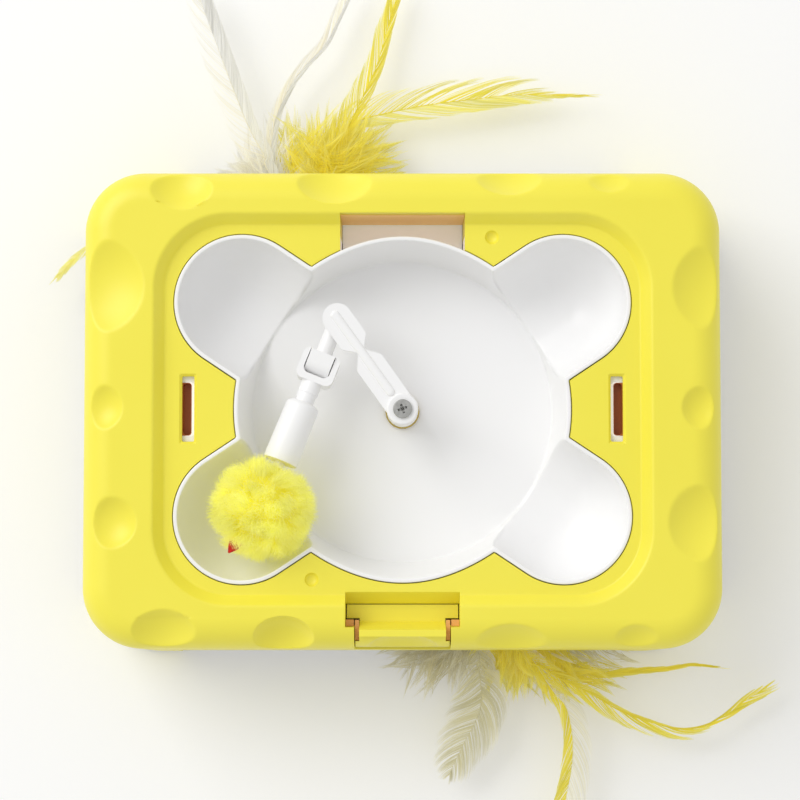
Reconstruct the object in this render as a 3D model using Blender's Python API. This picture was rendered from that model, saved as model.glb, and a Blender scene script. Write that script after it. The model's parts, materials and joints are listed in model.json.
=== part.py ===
"""Interactive cat toy: a cheese-like housing round a scooped white bowl, in which a motor drives a crank
arm that drags a pompom on a rod, while feathers on a rotor under the chassis sweep past the wall arches.

Metres, +Z up, +Y away from the viewer. The origin is on the floor, under the spindle's axis.
"""

import math

import bmesh
import bpy
from mathutils import Matrix, Vector
from mathutils.geometry import convex_hull_2d

MM = 0.001

# Shared clearances and facet counts
SEAT_GAP = 0.2 * MM
FIT_GAP = 0.3 * MM
RUNNING_GAP = 0.12 * MM
OVERRUN = 6 * MM
ROUND_STEPS = 18
SMALL_STEPS = 8

# Housing
HOUSING_LENGTH = 240 * MM
HOUSING_WIDTH = 182 * MM
HOUSING_HEIGHT = 70 * MM
HOUSING_CORNER = 27 * MM
HOUSING_FILLET = 11.5 * MM
HOUSING_DRAFT = math.radians(5)
HOUSING_WALL = 2.4 * MM
HOUSING_LEG_LIFT = 1.6 * MM
CORNER_STEPS = 6
FILLET_STEPS = 4
ARCH_HEIGHT = 20 * MM
ARCH_CORNER = 9 * MM
FRONT_ARCH_HALF = 85 * MM
SIDE_ARCH_HALF = 70 * MM

# Recess that the lid sits in
RECESS_LENGTH = 177.7 * MM
RECESS_WIDTH = 139.8 * MM
RECESS_CORNER = 27 * MM
RECESS_DEPTH = 4.5 * MM
RECESS_SLOPE = 3.6 * MM

# Cheese holes: place along the side as a share of its half length, then the hole's radius and how far
# it reaches in from the base's outer edge, both as shares of the housing's height
NORTH_HOLE_SHARES = (
    (-0.66, 0.158, 0.283),
    (-0.204, 0.191, 0.254),
    (0.319, 0.164, 0.21),
    (0.617, 0.101, 0.196),
)
SOUTH_HOLE_SHARES = (
    (-0.706, 0.163, 0.284),
    (-0.352, 0.154, 0.25),
    (0.323, 0.174, 0.21),
    (0.692, 0.106, 0.206),
)
WEST_HOLE_SHARES = ((0.48, 0.244, 0.396), (0.004, 0.119, 0.291), (-0.446, 0.13, 0.366))
EAST_HOLE_SHARES = ((0.475, 0.239, 0.337), (0.003, 0.114, 0.294), (-0.447, 0.201, 0.367))
HOLE_DEPTH = 2 * MM
HOLE_DEPTH_SHARE = 0.17
HOLE_SPREAD_SHARE = 1.1
HOLE_STEPS = 20
HOLE_RINGS = 3
HOLE_BACK_STEPS = 8
HOLE_BACK_RINGS = 2

# The hole on the latch tongue lies in its wall, below a point in the top's level
LATCH_HOLE_RADIUS = 10.7 * MM
LATCH_HOLE_INSET = 10.6 * MM
LATCH_HOLE_DEPTH = 3.2 * MM
LATCH_HOLE_TILT = math.radians(18)

# Dents in the recess floor, one each side of the bowl
DENT_RADIUS = 2.5 * MM
DENT_DEPTH_SHARE = 0.7
DENT_PLACES = ((32.1 * MM, 61.7 * MM), (-32.4 * MM, -60.9 * MM))

# Bowl
BOWL_RIM_LIFT = 0.5 * MM
BOWL_WALL = 1.5 * MM
BOWL_FLOOR = 1.8 * MM
LOBE_STEP = 0.5 * MM
LOBE_RADIUS = 24.3 * MM
LOBE_X = 57.6 * MM
LOBE_Y = 38.3 * MM
DRUM_RADIUS = 60.3 * MM
DRUM_BULGE = 1.7 * MM
DRUM_BULGE_POWER = 12
DRUM_FLOOR_RADIUS = 55.6 * MM
DRUM_FOOT_FILLET = 1.8 * MM
DRUM_STEPS = 60
LOBE_STEPS = 22
LOBE_END_STEPS = 6
BOWL_OPENING_GAP = 0.35 * MM
FLANGE_WIDTH = 3.5 * MM
FLANGE_THICK = 2 * MM

# Slots in the recess floor for the lid's clips, with a tower under each
SLOT_X = 76.8 * MM
SLOT_WIDTH = 4.4 * MM
SLOT_LENGTH = 23.4 * MM
SLOT_CHAMFER = 0.9 * MM
TOWER_WIDTH = 9.4 * MM
TOWER_LENGTH = 27 * MM
TOWER_MOUTH_LENGTH = 19.6 * MM
TOWER_MOUTH_CORNER = 1.8 * MM
TOWER_DEPTH = 24 * MM

# Rear notch, its skirt and the deck below it
REAR_NOTCH_HALF = 22.4 * MM
REAR_NOTCH_EDGE = 70 * MM
REAR_SKIRT_START = 63 * MM
REAR_SKIRT_GAP = 2 * MM
REAR_BOX_HALF = 30 * MM
REAR_BOX_START = 63 * MM
REAR_BOX_END = 80 * MM
REAR_DECK_DROP = 0.7 * MM

# Latch notch at the front, and the tongue that flexes in it
LATCH_HALF = 20.4 * MM
LATCH_BACK = 65.3 * MM
LATCH_BACK_FOOT = 69.8 * MM
LATCH_DROP = 7.5 * MM
LATCH_FLOOR_THICK = 2.4 * MM
LATCH_SHOULDER = 77.6 * MM
TONGUE_HALF = 17.2 * MM
TONGUE_NECK_HALF = 15.4 * MM
TONGUE_SLOPE_FOOT = 76.2 * MM
TONGUE_SLOPE_TOP = 78.4 * MM
TONGUE_FLOOR_END = 75 * MM
TONGUE_SLOT_END = 82.7 * MM
TONGUE_SINK = 0.8 * MM
TONGUE_SKIRT = 10.2 * MM
TONGUE_SIDE_GAP = 0.4 * MM
TONGUE_DROP_GAP = 1.7 * MM

# Chassis
PLATE_BOTTOM = 20 * MM
PLATE_THICK = 3 * MM
CHASSIS_WALL = 1.5 * MM
LEG_WALL = 2 * MM
LEG_BOTTOM = 2 * MM
LEG_INNER_X = 86 * MM
LEG_INNER_Y = 74 * MM
FOOT_RADIUS = 6 * MM
FOOT_X = 97 * MM
FOOT_Y = 81 * MM
POST_RADIUS = 3 * MM
POST_X = 33.6 * MM
POST_Y = 56 * MM
SIDE_POST_X = 64.6 * MM

# Housing screws, from below into bosses of the housing
BOSS_RADIUS = 4 * MM
BOSS_X = 97 * MM
BOSS_Y = 56 * MM
BOSS_HOLE_RADIUS = 1.7 * MM
BOSS_HOLE_DEPTH = 16 * MM
SCREW_RADIUS = 1.4 * MM
SCREW_HEAD_RADIUS = 2.8 * MM
SCREW_HEAD_THICK = 1.3 * MM
SCREW_LENGTH = 12 * MM
SCREW_SINK = 1.6 * MM
SCREW_FLAT_SHARE = 0.7

# Batteries, their bay and its door
CELL_RADIUS = 7.1 * MM
CELL_LENGTH = 49.5 * MM
CELL_NUB_RADIUS = 2.6 * MM
CELL_NUB_LENGTH = 1 * MM
CELL_PITCH = 15 * MM
CELL_COUNT = 3
BAY_X = -49.5 * MM
BAY_SIDE_GAP = 1 * MM
BAY_END_ROOM = 2.65 * MM
BAY_TOP_GAP = 0.7 * MM
BAY_ROOF_THICK = 0.9 * MM
DOOR_THICK = 1.5 * MM
DOOR_LEDGE = 2.4 * MM
DOOR_EAR = 7 * MM
DOOR_RIB_LIFT = 1.2 * MM
DOOR_RIB_WIDTH = 2 * MM
DOOR_RIB_Y = 15 * MM
DOOR_SCREW_RADIUS = 1.1 * MM
DOOR_SCREW_HEAD = 2.1 * MM
DOOR_SCREW_LENGTH = 5 * MM
DOOR_BOSS_RADIUS = 3 * MM
DOOR_BOSS_LIFT = 5 * MM
CONTACT_HALF = 4.5 * MM
CONTACT_THICK = 0.5 * MM
CONTACT_SPRING_RADIUS = 3 * MM
CONTACT_SPRING_TIP = 1.6 * MM

# Gear train: the motor's pinion turns the compound gear, whose pinion turns the spindle's gear
MOTOR_MODULE = 0.6 * MM
MOTOR_TEETH = 9
WHEEL_TEETH = 40
OUTPUT_MODULE = 0.7 * MM
SMALL_TEETH = 9
OUTPUT_TEETH = 36
GEAR_SPREAD = 0.1 * MM
GEAR_BACKLASH = 0.16 * MM
TOOTH_SLOPE = math.radians(20)
ADDENDUM_SHARE = 0.85
DEDENDUM_SHARE = 1.2
COMPOUND_ANGLE = math.radians(-30)
MOTOR_ANGLE = math.radians(20)
OUTPUT_GEAR_LIFT = 7.6 * MM
OUTPUT_GEAR_THICK = 3 * MM
OUTPUT_HUB_RADIUS = 5 * MM
OUTPUT_HUB_LIFT = 1.6 * MM
SMALL_GEAR_MARGIN = 0.6 * MM
WHEEL_LIFT = 0.8 * MM
WHEEL_THICK = 2.2 * MM
PINION_MARGIN = 0.2 * MM
AXLE_RADIUS = 1 * MM
AXLE_SINK = 1.4 * MM
AXLE_COVER_GAP = 0.4 * MM
AXLE_BOSS_RADIUS = 2.6 * MM
AXLE_BOSS_GAP = 0.3 * MM
MOTOR_RADIUS = 10 * MM
MOTOR_SINK = 1.2 * MM
MOTOR_HEIGHT = 11.4 * MM
MOTOR_NOSE_RADIUS = 2.6 * MM
MOTOR_NOSE_LENGTH = 0.7 * MM
MOTOR_SHAFT_RADIUS = 0.75 * MM
MOTOR_SHAFT_DEPTH = 2.2 * MM
COVER_THICK = 1.4 * MM
COVER_DROP = 0.1 * MM
COVER_MARGIN = 1.6 * MM
COVER_HOLE_RADIUS = 5.2 * MM
COVER_EAR_RADIUS = 4 * MM
COVER_EAR_THICK = 2.4 * MM
COVER_EAR_PLACES = ((-2 * MM, 17.4 * MM), (10.7 * MM, -24.4 * MM))

# Spindle and its bushes
SPINDLE_RADIUS = 2.5 * MM
SPINDLE_FOOT = 5.6 * MM
SPINDLE_CAP = 2.4 * MM
SPINDLE_HOLE_RADIUS = 1.5 * MM
SPINDLE_HOLE_DEPTH = 8 * MM
BUSH_RADIUS = 4.2 * MM
BUSH_FLANGE_RADIUS = 6.3 * MM
BUSH_FLANGE_THICK = 1.1 * MM
UPPER_BUSH_DROP = 1.6 * MM
LOWER_BUSH_LIFT = 1.2 * MM

# Crank arm: a waisted blade with a raised rib, on a tall hub
CRANK_REACH = 40.4 * MM
CRANK_ANGLE = math.radians(125.6)
HUB_RADIUS = 5.7 * MM
HUB_GAP = 0.4 * MM
BLADE_DROP = 4 * MM
BLADE_THICK = 2.6 * MM
BLADE_HALF = 5.8 * MM
WAIST_HALF = 1.9 * MM
RIB_HALF = 1.5 * MM
RIB_LIFT = 0.9 * MM
RIB_SLOPE = 0.8 * MM
# Along the blade as shares of its reach: shoulders either side of the waist, where the rib ends
BLADE_SHOULDER_SHARES = (0.46, 0.585, 0.6, 0.625, 0.76)
BLADE_EDGE_SHARE = 0.9
BLADE_SHOULDER_LENGTH_SHARE = 0.09
WAIST_FLARE_SHARE = 1.3
RIB_END_SHARES = (0.17, 1.02)
HUB_SCREW_HEAD = 3.45 * MM
HUB_SCREW_THICK = 1.2 * MM
HUB_SCREW_DOME = 0.35 * MM
HUB_SCREW_FLAT_SHARE = 0.75
HUB_SCREW_LENGTH = 12 * MM
CROSS_HALF = 1.7 * MM
CROSS_WIDTH = 0.55 * MM
CROSS_DEPTH = 0.7 * MM
PEG_RADIUS = 2 * MM
PEG_LENGTH = 7.8 * MM

# Link, yoke and rod, in line from the crank's peg over the yoke's pivot to the pompom
LINK_REACH = 17.55 * MM
PIVOT_DROP = 4.5 * MM
LINK_RADIUS = 4 * MM
STUB_RADIUS = 3 * MM
BLOCK_HALF_WIDTH = 4.5 * MM
BLOCK_RADIUS = 4.3 * MM
SWIVEL_SCREW_HEAD = 3 * MM
SWIVEL_SCREW_THICK = 1 * MM
SWIVEL_SCREW_RADIUS = 0.9 * MM
SWIVEL_SCREW_LENGTH = 5 * MM
YOKE_GAP = 0.4 * MM
YOKE_ARM = 2 * MM
YOKE_TAIL = 4.4 * MM
YOKE_INSIDE = 5 * MM
YOKE_BASE = 2.4 * MM
YOKE_HEIGHT = 7.6 * MM
YOKE_CORNER = 2.6 * MM
PIN_RADIUS = 1.25 * MM
NECK_RADIUS = 2.4 * MM
NECK_KEY = 1.3 * MM
ROD_START = 15.4 * MM
ROD_RADIUS = 5.8 * MM
ROD_CHAMFER = 1.4 * MM
ROD_SOCKET = 5 * MM
ROD_BORE_RADIUS = 4.4 * MM
ROD_BORE_DEPTH = 14 * MM
TIE_STEM_RADIUS = 1.8 * MM
TIE_LENGTH = 8 * MM
TIE_PLUG_DEPTH = 6 * MM

# Pompom and its beak
POMPOM_RADIUS = 19.3 * MM
POMPOM_INSET_X = 7.2 * MM
POMPOM_INSET_Y = 3.2 * MM
POMPOM_LIFT = 23.2 * MM
POMPOM_POCKET = 1.4 * MM
POMPOM_RINGS = 12
POMPOM_STEPS = 20
POMPOM_LUMP_SHARE = 0.035
BEAK_DIRECTION = (-0.52, -0.76, 0.39)
BEAK_RADIUS = 2 * MM
BEAK_LENGTH = 5.5 * MM
BEAK_SINK = 1 * MM

# Feather rotor, under the chassis
ROTOR_RADIUS = 12 * MM
ROTOR_THICK = 4.8 * MM
ROTOR_DROP = 2.2 * MM
ROTOR_ARM_HALF = 5 * MM
ROTOR_ARM_REACH = 20 * MM
ROTOR_SCREW_HEAD = 3.6 * MM
ROTOR_SCREW_THICK = 1.2 * MM
FERRULE_HALF = 7.6 * MM
FERRULE_START = 16 * MM
FERRULE_END = 30 * MM
FERRULE_HEIGHT = 12.2 * MM
FERRULE_DROP = 1.6 * MM
FEATHER_AZIMUTH = math.radians(114)

# Feathers: the routes are shares of the sweep, in X and Y; the roots lie side by side in a ferrule
FEATHER_SWEEP = 167 * MM
FEATHER_STEPS = 13
FEATHER_THICK = 0.9 * MM
QUILL_HALF = 0.45 * MM
ROOT_PITCH = 1.9 * MM
TOP_DROP = 1.1 * MM
LEVEL_PITCH = 1.25 * MM
FEATHER_DROOP = 2.6 * MM
VANE_SHARES = (0, 0, 0.08, 0.3, 0.62, 0.88, 1, 0.96, 0.86, 0.72, 0.55, 0.34, 0.06)
PLUME_SHARES = (0, 0.04, 0.12, 0.25, 0.45, 0.68, 0.88, 1, 0.98, 0.86, 0.66, 0.42, 0.14)
PLUME_THICK = 5 * MM
PLUME_SLOT_SHARE = 1.6
FEATHER_ROOT_SHARE = 1 / 3
REAR_PLUME_HALF = 19 * MM
FRONT_PLUME_HALF = 17 * MM
SIDE_VANE_HALF = 4 * MM
WHITE_VANE_HALF = 5 * MM
LEAN_VANE_HALF = 4 * MM
CROWN_VANE_HALF = 6.5 * MM
LONG_VANE_HALF = 7 * MM
DROOP_VANE_HALF = 6 * MM
PALE_VANE_HALF = 12 * MM
SIDE_ROUTE_SHARES = (
    (-0.36, 0.29), (-0.57, 0.36), (-0.69, 0.383), (-0.735, 0.385), (-0.785, 0.345), (-0.82, 0.29),
)
WHITE_ROUTE_A_SHARES = ((-0.295, 0.565), (-0.345, 0.665), (-0.4, 0.76), (-0.445, 0.87), (-0.48, 0.995))
WHITE_ROUTE_B_SHARES = ((-0.31, 0.565), (-0.295, 0.71), (-0.26, 0.785), (-0.17, 0.91), (-0.1, 0.995))
CROWN_ROUTE_SHARES = ((-0.19, 0.565), (-0.13, 0.655), (-0.085, 0.735), (-0.04, 0.875), (0.005, 0.995))
LONG_ROUTE_D_SHARES = (
    (-0.195, 0.57), (-0.145, 0.665), (-0.075, 0.695), (0.09, 0.737), (0.23, 0.75), (0.434, 0.747),
)
LONG_ROUTE_G_SHARES = (
    (0.28, -0.537), (0.315, -0.572), (0.452, -0.652), (0.613, -0.709), (0.705, -0.717), (0.833, -0.626),
)
DROOP_ROUTE_SHARES = ((0.281, -0.538), (0.372, -0.652), (0.395, -0.789), (0.36, -0.88), (0.345, -0.995))
PALE_ROUTE_SHARES = ((0.174, -0.544), (0.156, -0.655), (0.133, -0.746), (0.105, -0.831))
REAR_PLUME_ROUTE_SHARES = ((-0.15, 0.42), (-0.14, 0.56), (-0.13, 0.7))
FRONT_PLUME_ROUTE_SHARES = ((0.2, -0.42), (0.235, -0.54), (0.26, -0.64))

# Slide switch in the chassis plate
SWITCH_X = 50.5 * MM
SWITCH_HALF_X = 6.5 * MM
SWITCH_HALF_Y = 3.2 * MM
SWITCH_HEIGHT = 5 * MM
SWITCH_TRAVEL = 4 * MM
KNOB_HALF = 1.3 * MM
KNOB_DROP = 1.4 * MM
KNOB_STEM_LIFT = 3 * MM

# Circuit board in the rear box
BOARD_HALF_X = 24 * MM
BOARD_START = 66 * MM
BOARD_END = 77 * MM
BOARD_LIFT = 3 * MM
BOARD_THICK = 1.2 * MM
CHIP_HALF = 3 * MM
CHIP_HEIGHT = 1.6 * MM
BOARD_RAIL = 2 * MM
CHIP_PLACE_SHARES = (-0.6, 0, 0.55)

RECESS_FLOOR = HOUSING_HEIGHT - RECESS_DEPTH
PANEL_UNDERSIDE = RECESS_FLOOR - HOUSING_WALL
LATCH_FLOOR_HEIGHT = RECESS_FLOOR - LATCH_DROP
TONGUE_BOTTOM = LATCH_FLOOR_HEIGHT - TONGUE_SKIRT
TONGUE_AXIS_HEIGHT = LATCH_FLOOR_HEIGHT - LATCH_FLOOR_THICK / 2
BOWL_RIM = RECESS_FLOOR + BOWL_RIM_LIFT
PLATE_TOP = PLATE_BOTTOM + PLATE_THICK
CELL_LOW = PLATE_BOTTOM + DOOR_THICK + DOOR_RIB_LIFT + SEAT_GAP
BAY_ROOF = CELL_LOW + 2 * CELL_RADIUS + BAY_TOP_GAP + BAY_ROOF_THICK
BAY_HALF_X = CELL_PITCH * (CELL_COUNT - 1) / 2 + CELL_RADIUS + BAY_SIDE_GAP
BAY_HALF_Y = CELL_LENGTH / 2 + BAY_END_ROOM
BOWL_UNDERSIDE = BAY_ROOF + FIT_GAP
BOWL_FLOOR_TOP = BOWL_UNDERSIDE + BOWL_FLOOR
BOWL_DEPTH = BOWL_RIM - BOWL_FLOOR_TOP
LOBE_DEPTH = BOWL_DEPTH - LOBE_STEP
FLANGE_TOP = PANEL_UNDERSIDE - FIT_GAP
FLANGE_BOTTOM = FLANGE_TOP - FLANGE_THICK
HALF_LENGTH = HOUSING_LENGTH / 2
HALF_WIDTH = HOUSING_WIDTH / 2
SPINDLE_LOW = PLATE_BOTTOM - SPINDLE_FOOT
ROTOR_HIGH = PLATE_BOTTOM - ROTOR_DROP
ROTOR_LOW = ROTOR_HIGH - ROTOR_THICK
FERRULE_HIGH = PLATE_BOTTOM - FERRULE_DROP
FERRULE_LOW = FERRULE_HIGH - FERRULE_HEIGHT
TOP_LEVEL = FERRULE_HIGH - TOP_DROP
KNOB_LOW = PLATE_BOTTOM - KNOB_DROP
KNOB_STEM_TOP = PLATE_TOP + KNOB_STEM_LIFT
DOOR_BOSS_TOP = PLATE_TOP + DOOR_BOSS_LIFT
BOARD_HEIGHT = PLATE_TOP + BOARD_LIFT
REAR_DECK_HEIGHT = BAY_ROOF - REAR_DECK_DROP
REAR_SKIRT_BOTTOM = REAR_DECK_HEIGHT + REAR_SKIRT_GAP
LOWER_BUSH_HIGH = PLATE_TOP + LOWER_BUSH_LIFT
UPPER_BUSH_LOW = BOWL_UNDERSIDE - UPPER_BUSH_DROP
OUTPUT_HUB_LOW = PLATE_TOP + OUTPUT_HUB_LIFT
OUTPUT_GEAR_LOW = PLATE_TOP + OUTPUT_GEAR_LIFT
OUTPUT_GEAR_HIGH = OUTPUT_GEAR_LOW + OUTPUT_GEAR_THICK
SMALL_GEAR_LOW = OUTPUT_GEAR_LOW - SMALL_GEAR_MARGIN
WHEEL_LOW = OUTPUT_GEAR_HIGH + WHEEL_LIFT
WHEEL_HIGH = WHEEL_LOW + WHEEL_THICK
PINION_LOW = WHEEL_LOW - PINION_MARGIN
PINION_HIGH = WHEEL_HIGH + PINION_MARGIN
COVER_TOP = BAY_ROOF - COVER_DROP
AXLE_LOW = PLATE_TOP - AXLE_SINK
AXLE_HIGH = COVER_TOP - AXLE_COVER_GAP
AXLE_BOSS_TOP = SMALL_GEAR_LOW - AXLE_BOSS_GAP
MOTOR_LOW = PLATE_TOP - MOTOR_SINK
MOTOR_HIGH = MOTOR_LOW + MOTOR_HEIGHT
MOTOR_NOSE_HIGH = MOTOR_HIGH + MOTOR_NOSE_LENGTH
MOTOR_SHAFT_LOW = MOTOR_HIGH - MOTOR_SHAFT_DEPTH
HUB_LOW = BOWL_FLOOR_TOP + SEAT_GAP + BUSH_FLANGE_THICK + HUB_GAP
HUB_HIGH = BOWL_RIM
BLADE_LOW = HUB_HIGH - BLADE_DROP
BLADE_HIGH = BLADE_LOW + BLADE_THICK
RIB_HIGH = BLADE_HIGH + RIB_LIFT
SPINDLE_HIGH = BLADE_LOW - SPINDLE_CAP
PEG_LOW = BLADE_LOW - PEG_LENGTH
LINK_LOW = PEG_LOW - SEAT_GAP
LINK_HIGH = BLADE_LOW - FIT_GAP
SWIVEL_PLACE = (CRANK_REACH * math.cos(CRANK_ANGLE), CRANK_REACH * math.sin(CRANK_ANGLE))
POMPOM_CENTRE = (POMPOM_INSET_X - LOBE_X, POMPOM_INSET_Y - LOBE_Y, BOWL_FLOOR_TOP + POMPOM_LIFT)
LINK_SHARE = LINK_REACH / math.dist(SWIVEL_PLACE, POMPOM_CENTRE[:2])
PIVOT = (SWIVEL_PLACE[0] + (POMPOM_CENTRE[0] - SWIVEL_PLACE[0]) * LINK_SHARE,
         SWIVEL_PLACE[1] + (POMPOM_CENTRE[1] - SWIVEL_PLACE[1]) * LINK_SHARE, BLADE_LOW - PIVOT_DROP)
ROD_END = math.dist(PIVOT, POMPOM_CENTRE) - POMPOM_RADIUS + POMPOM_POCKET
TIE_END = ROD_END + TIE_LENGTH

CORNER_SIGNS = ((1, 1), (-1, 1), (-1, -1), (1, -1))
CORNERS = dict(zip(("rear_right", "rear_left", "front_left", "front_right"), CORNER_SIGNS))


def empty_file():
    for thing in list(bpy.data.objects):
        bpy.data.objects.remove(thing)


def material(name, colour, roughness=0.4, metallic=0.0):
    made = bpy.data.materials.new(name)
    made.use_nodes = True
    shader = made.node_tree.nodes["Principled BSDF"]
    shader.inputs["Base Color"].default_value = (*colour, 1)
    shader.inputs["Roughness"].default_value = roughness
    shader.inputs["Metallic"].default_value = metallic
    made.diffuse_color = (*colour, 1)
    return made


def solid(name, shape):
    """An object from a closed bmesh, with its faces turned outwards."""
    bmesh.ops.recalc_face_normals(shape, faces=shape.faces)
    mesh = bpy.data.meshes.new(name)
    shape.to_mesh(mesh)
    shape.free()
    made = bpy.data.objects.new(name, mesh)
    bpy.context.collection.objects.link(made)
    return made


def skin(name, rings, closed=False):
    """A solid skinned over rings of points; a ring of one point is a pole, and closed joins last to first."""
    shape = bmesh.new()
    loops = [[shape.verts.new(p) for p in ring] for ring in rings]
    pairs = list(zip(loops, loops[1:]))
    if closed:
        pairs.append((loops[-1], loops[0]))
    for low, high in pairs:
        count = max(len(low), len(high))
        for i in range(count):
            j = (i + 1) % count
            if len(low) == 1:
                shape.faces.new((low[0], high[j], high[i]))
            elif len(high) == 1:
                shape.faces.new((low[i], low[j], high[0]))
            else:
                shape.faces.new((low[i], low[j], high[j], high[i]))
    if not closed:
        for loop in (loops[0], loops[-1]):
            if len(loop) > 2:
                shape.faces.new(loop)
    return solid(name, shape)


def prism(name, outline, low, high):
    return skin(name, [[Vector((x, y, z)) for x, y in outline] for z in (low, high)])


def box(name, low, high):
    outline = ((low[0], low[1]), (high[0], low[1]), (high[0], high[1]), (low[0], high[1]))
    return prism(name, outline, low[2], high[2])


def slab(name, profile, half, middle=0.0):
    """A prism along X over a profile of (Y, Z) points."""
    return skin(name, [[Vector((middle + x, y, z)) for y, z in profile] for x in (-half, half)])


def circle(radius, steps, centre=(0, 0)):
    turns = [2 * math.pi * i / steps for i in range(steps)]
    return [(centre[0] + radius * math.cos(a), centre[1] + radius * math.sin(a)) for a in turns]


def turned(name, profile, centre=(0, 0), steps=ROUND_STEPS):
    """A solid of revolution about a vertical axis, from (radius, height) points, bottom to top."""
    rings = []
    for radius, height in profile:
        ring = circle(radius, steps, centre) if radius > 0 else [centre]
        rings.append([Vector((x, y, height)) for x, y in ring])
    return skin(name, rings)


def sleeve(name, loop, centre=(0, 0), steps=ROUND_STEPS):
    """A ring of revolution about a vertical axis, from a closed loop of (radius, height) points."""
    rings = [[Vector((x, y, h)) for x, y in circle(r, steps, centre)] for r, h in loop]
    return skin(name, rings, closed=True)


def tube(name, outer, inner, low, high, centre=(0, 0), steps=ROUND_STEPS):
    return sleeve(name, ((inner, low), (outer, low), (outer, high), (inner, high)), centre, steps)


def moved(thing, matrix):
    thing.data.transform(matrix)
    return thing


def combine(body, tool, operation):
    """Applies a Boolean of the tool to the body, and removes the tool."""
    change = body.modifiers.new(operation, "BOOLEAN")
    change.operation = operation
    change.solver = "EXACT"
    change.object = tool
    graph = bpy.context.evaluated_depsgraph_get()
    mesh = bpy.data.meshes.new_from_object(body.evaluated_get(graph))
    body.modifiers.clear()
    body.data = mesh
    bpy.data.objects.remove(tool)
    return body


def cut(body, *tools):
    for tool in tools:
        combine(body, tool, "DIFFERENCE")
    return body


def join(body, *tools):
    for tool in tools:
        combine(body, tool, "UNION")
    return body


def keep(body, tool):
    return combine(body, tool, "INTERSECT")


def rounded(half_x, half_y, radius, steps=CORNER_STEPS):
    """A rectangle's outline with round corners, anticlockwise."""
    points = []
    for quarter, (sx, sy) in enumerate(CORNER_SIGNS):
        for i in range(steps + 1):
            turn = math.pi / 2 * (quarter + i / steps)
            x = sx * (half_x - radius) + radius * math.cos(turn)
            y = sy * (half_y - radius) + radius * math.sin(turn)
            points.append((x, y))
    return points


def wall_inset(height, offset=0.0):
    """How far the drafted wall stands in from the base's edge at a height, plus an offset square to it."""
    return height * math.tan(HOUSING_DRAFT) + offset / math.cos(HOUSING_DRAFT)


def envelope(name, offset, low):
    """The housing's outer form, drafted and filleted, or a form a constant offset inside it."""
    middle = HOUSING_HEIGHT - HOUSING_FILLET
    centre = wall_inset(middle, HOUSING_FILLET)
    radius = HOUSING_FILLET - offset
    profile = [(wall_inset(low, offset), low)]
    for i in range(FILLET_STEPS + 1):
        turn = HOUSING_DRAFT + (math.pi / 2 - HOUSING_DRAFT) * i / FILLET_STEPS
        profile.append((centre - radius * math.cos(turn), middle + radius * math.sin(turn)))
    rings = []
    for inset, height in profile:
        ring = rounded(HALF_LENGTH - inset, HALF_WIDTH - inset, HOUSING_CORNER - inset)
        rings.append([Vector((x, y, height)) for x, y in ring])
    return skin(name, rings)


def ball_scoop(name, middle, inward, radius, depth, extra, steps, layers):
    """A hole with a round rim about a middle and a ball's bottom, or the same grown by an extra."""
    ball = (radius * radius + depth * depth) / (2 * depth)
    centre = middle - inward * (ball - depth)
    ball += extra
    spread = math.asin(min(1.0, HOLE_SPREAD_SHARE * (radius + extra) / ball))
    rings = [[Vector((0, 0, -ball))]]
    for i in range(1, layers + 1):
        turn = spread * i / layers
        ring = circle(ball * math.sin(turn), steps)
        rings.append([Vector((x, y, -ball * math.cos(turn))) for x, y in ring])
    rings.append([Vector((x, y, 0)) for x, y in circle(ball * math.sin(spread), steps)])
    turn = Vector((0, 0, -1)).rotation_difference(inward).to_matrix().to_4x4()
    return moved(skin(name, rings), Matrix.Translation(centre) @ turn)


def cheese_hole(name, side, hole_shares, extra=0.0, steps=HOLE_STEPS, layers=HOLE_RINGS):
    """A hole scooped from above: its rim is round on the top and runs out on the fillet."""
    along_share, radius_share, reach_share = hole_shares
    lengthways = side in ("north", "south")
    half, edge = (HALF_LENGTH, HALF_WIDTH) if lengthways else (HALF_WIDTH, HALF_LENGTH)
    radius = radius_share * HOUSING_HEIGHT
    out = edge - reach_share * HOUSING_HEIGHT + radius
    if side in ("south", "west"):
        out = -out
    along = along_share * half
    x, y = (along, out) if lengthways else (out, along)
    middle = Vector((x, y, HOUSING_HEIGHT))
    depth = HOLE_DEPTH + HOLE_DEPTH_SHARE * radius
    return ball_scoop(name, middle, Vector((0, 0, -1)), radius, depth, extra, steps, layers)


def latch_hole(name, extra=0.0, steps=HOLE_STEPS, layers=HOLE_RINGS):
    """The hole on the latch tongue, which is scooped from the front, a little from above."""
    down = Vector((0, -math.sin(LATCH_HOLE_TILT), -math.cos(LATCH_HOLE_TILT)))
    inward = Vector((0, math.cos(LATCH_HOLE_TILT), -math.sin(LATCH_HOLE_TILT)))
    middle = Vector((0, LATCH_HOLE_INSET - HALF_WIDTH, HOUSING_HEIGHT)) + down * LATCH_HOLE_RADIUS
    return ball_scoop(name, middle, inward, LATCH_HOLE_RADIUS, LATCH_HOLE_DEPTH, extra, steps, layers)


def all_holes():
    tables = (NORTH_HOLE_SHARES, SOUTH_HOLE_SHARES, WEST_HOLE_SHARES, EAST_HOLE_SHARES)
    sides = ("north", "south", "west", "east")
    return [(side, shares) for side, table in zip(sides, tables) for shares in table]


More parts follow.
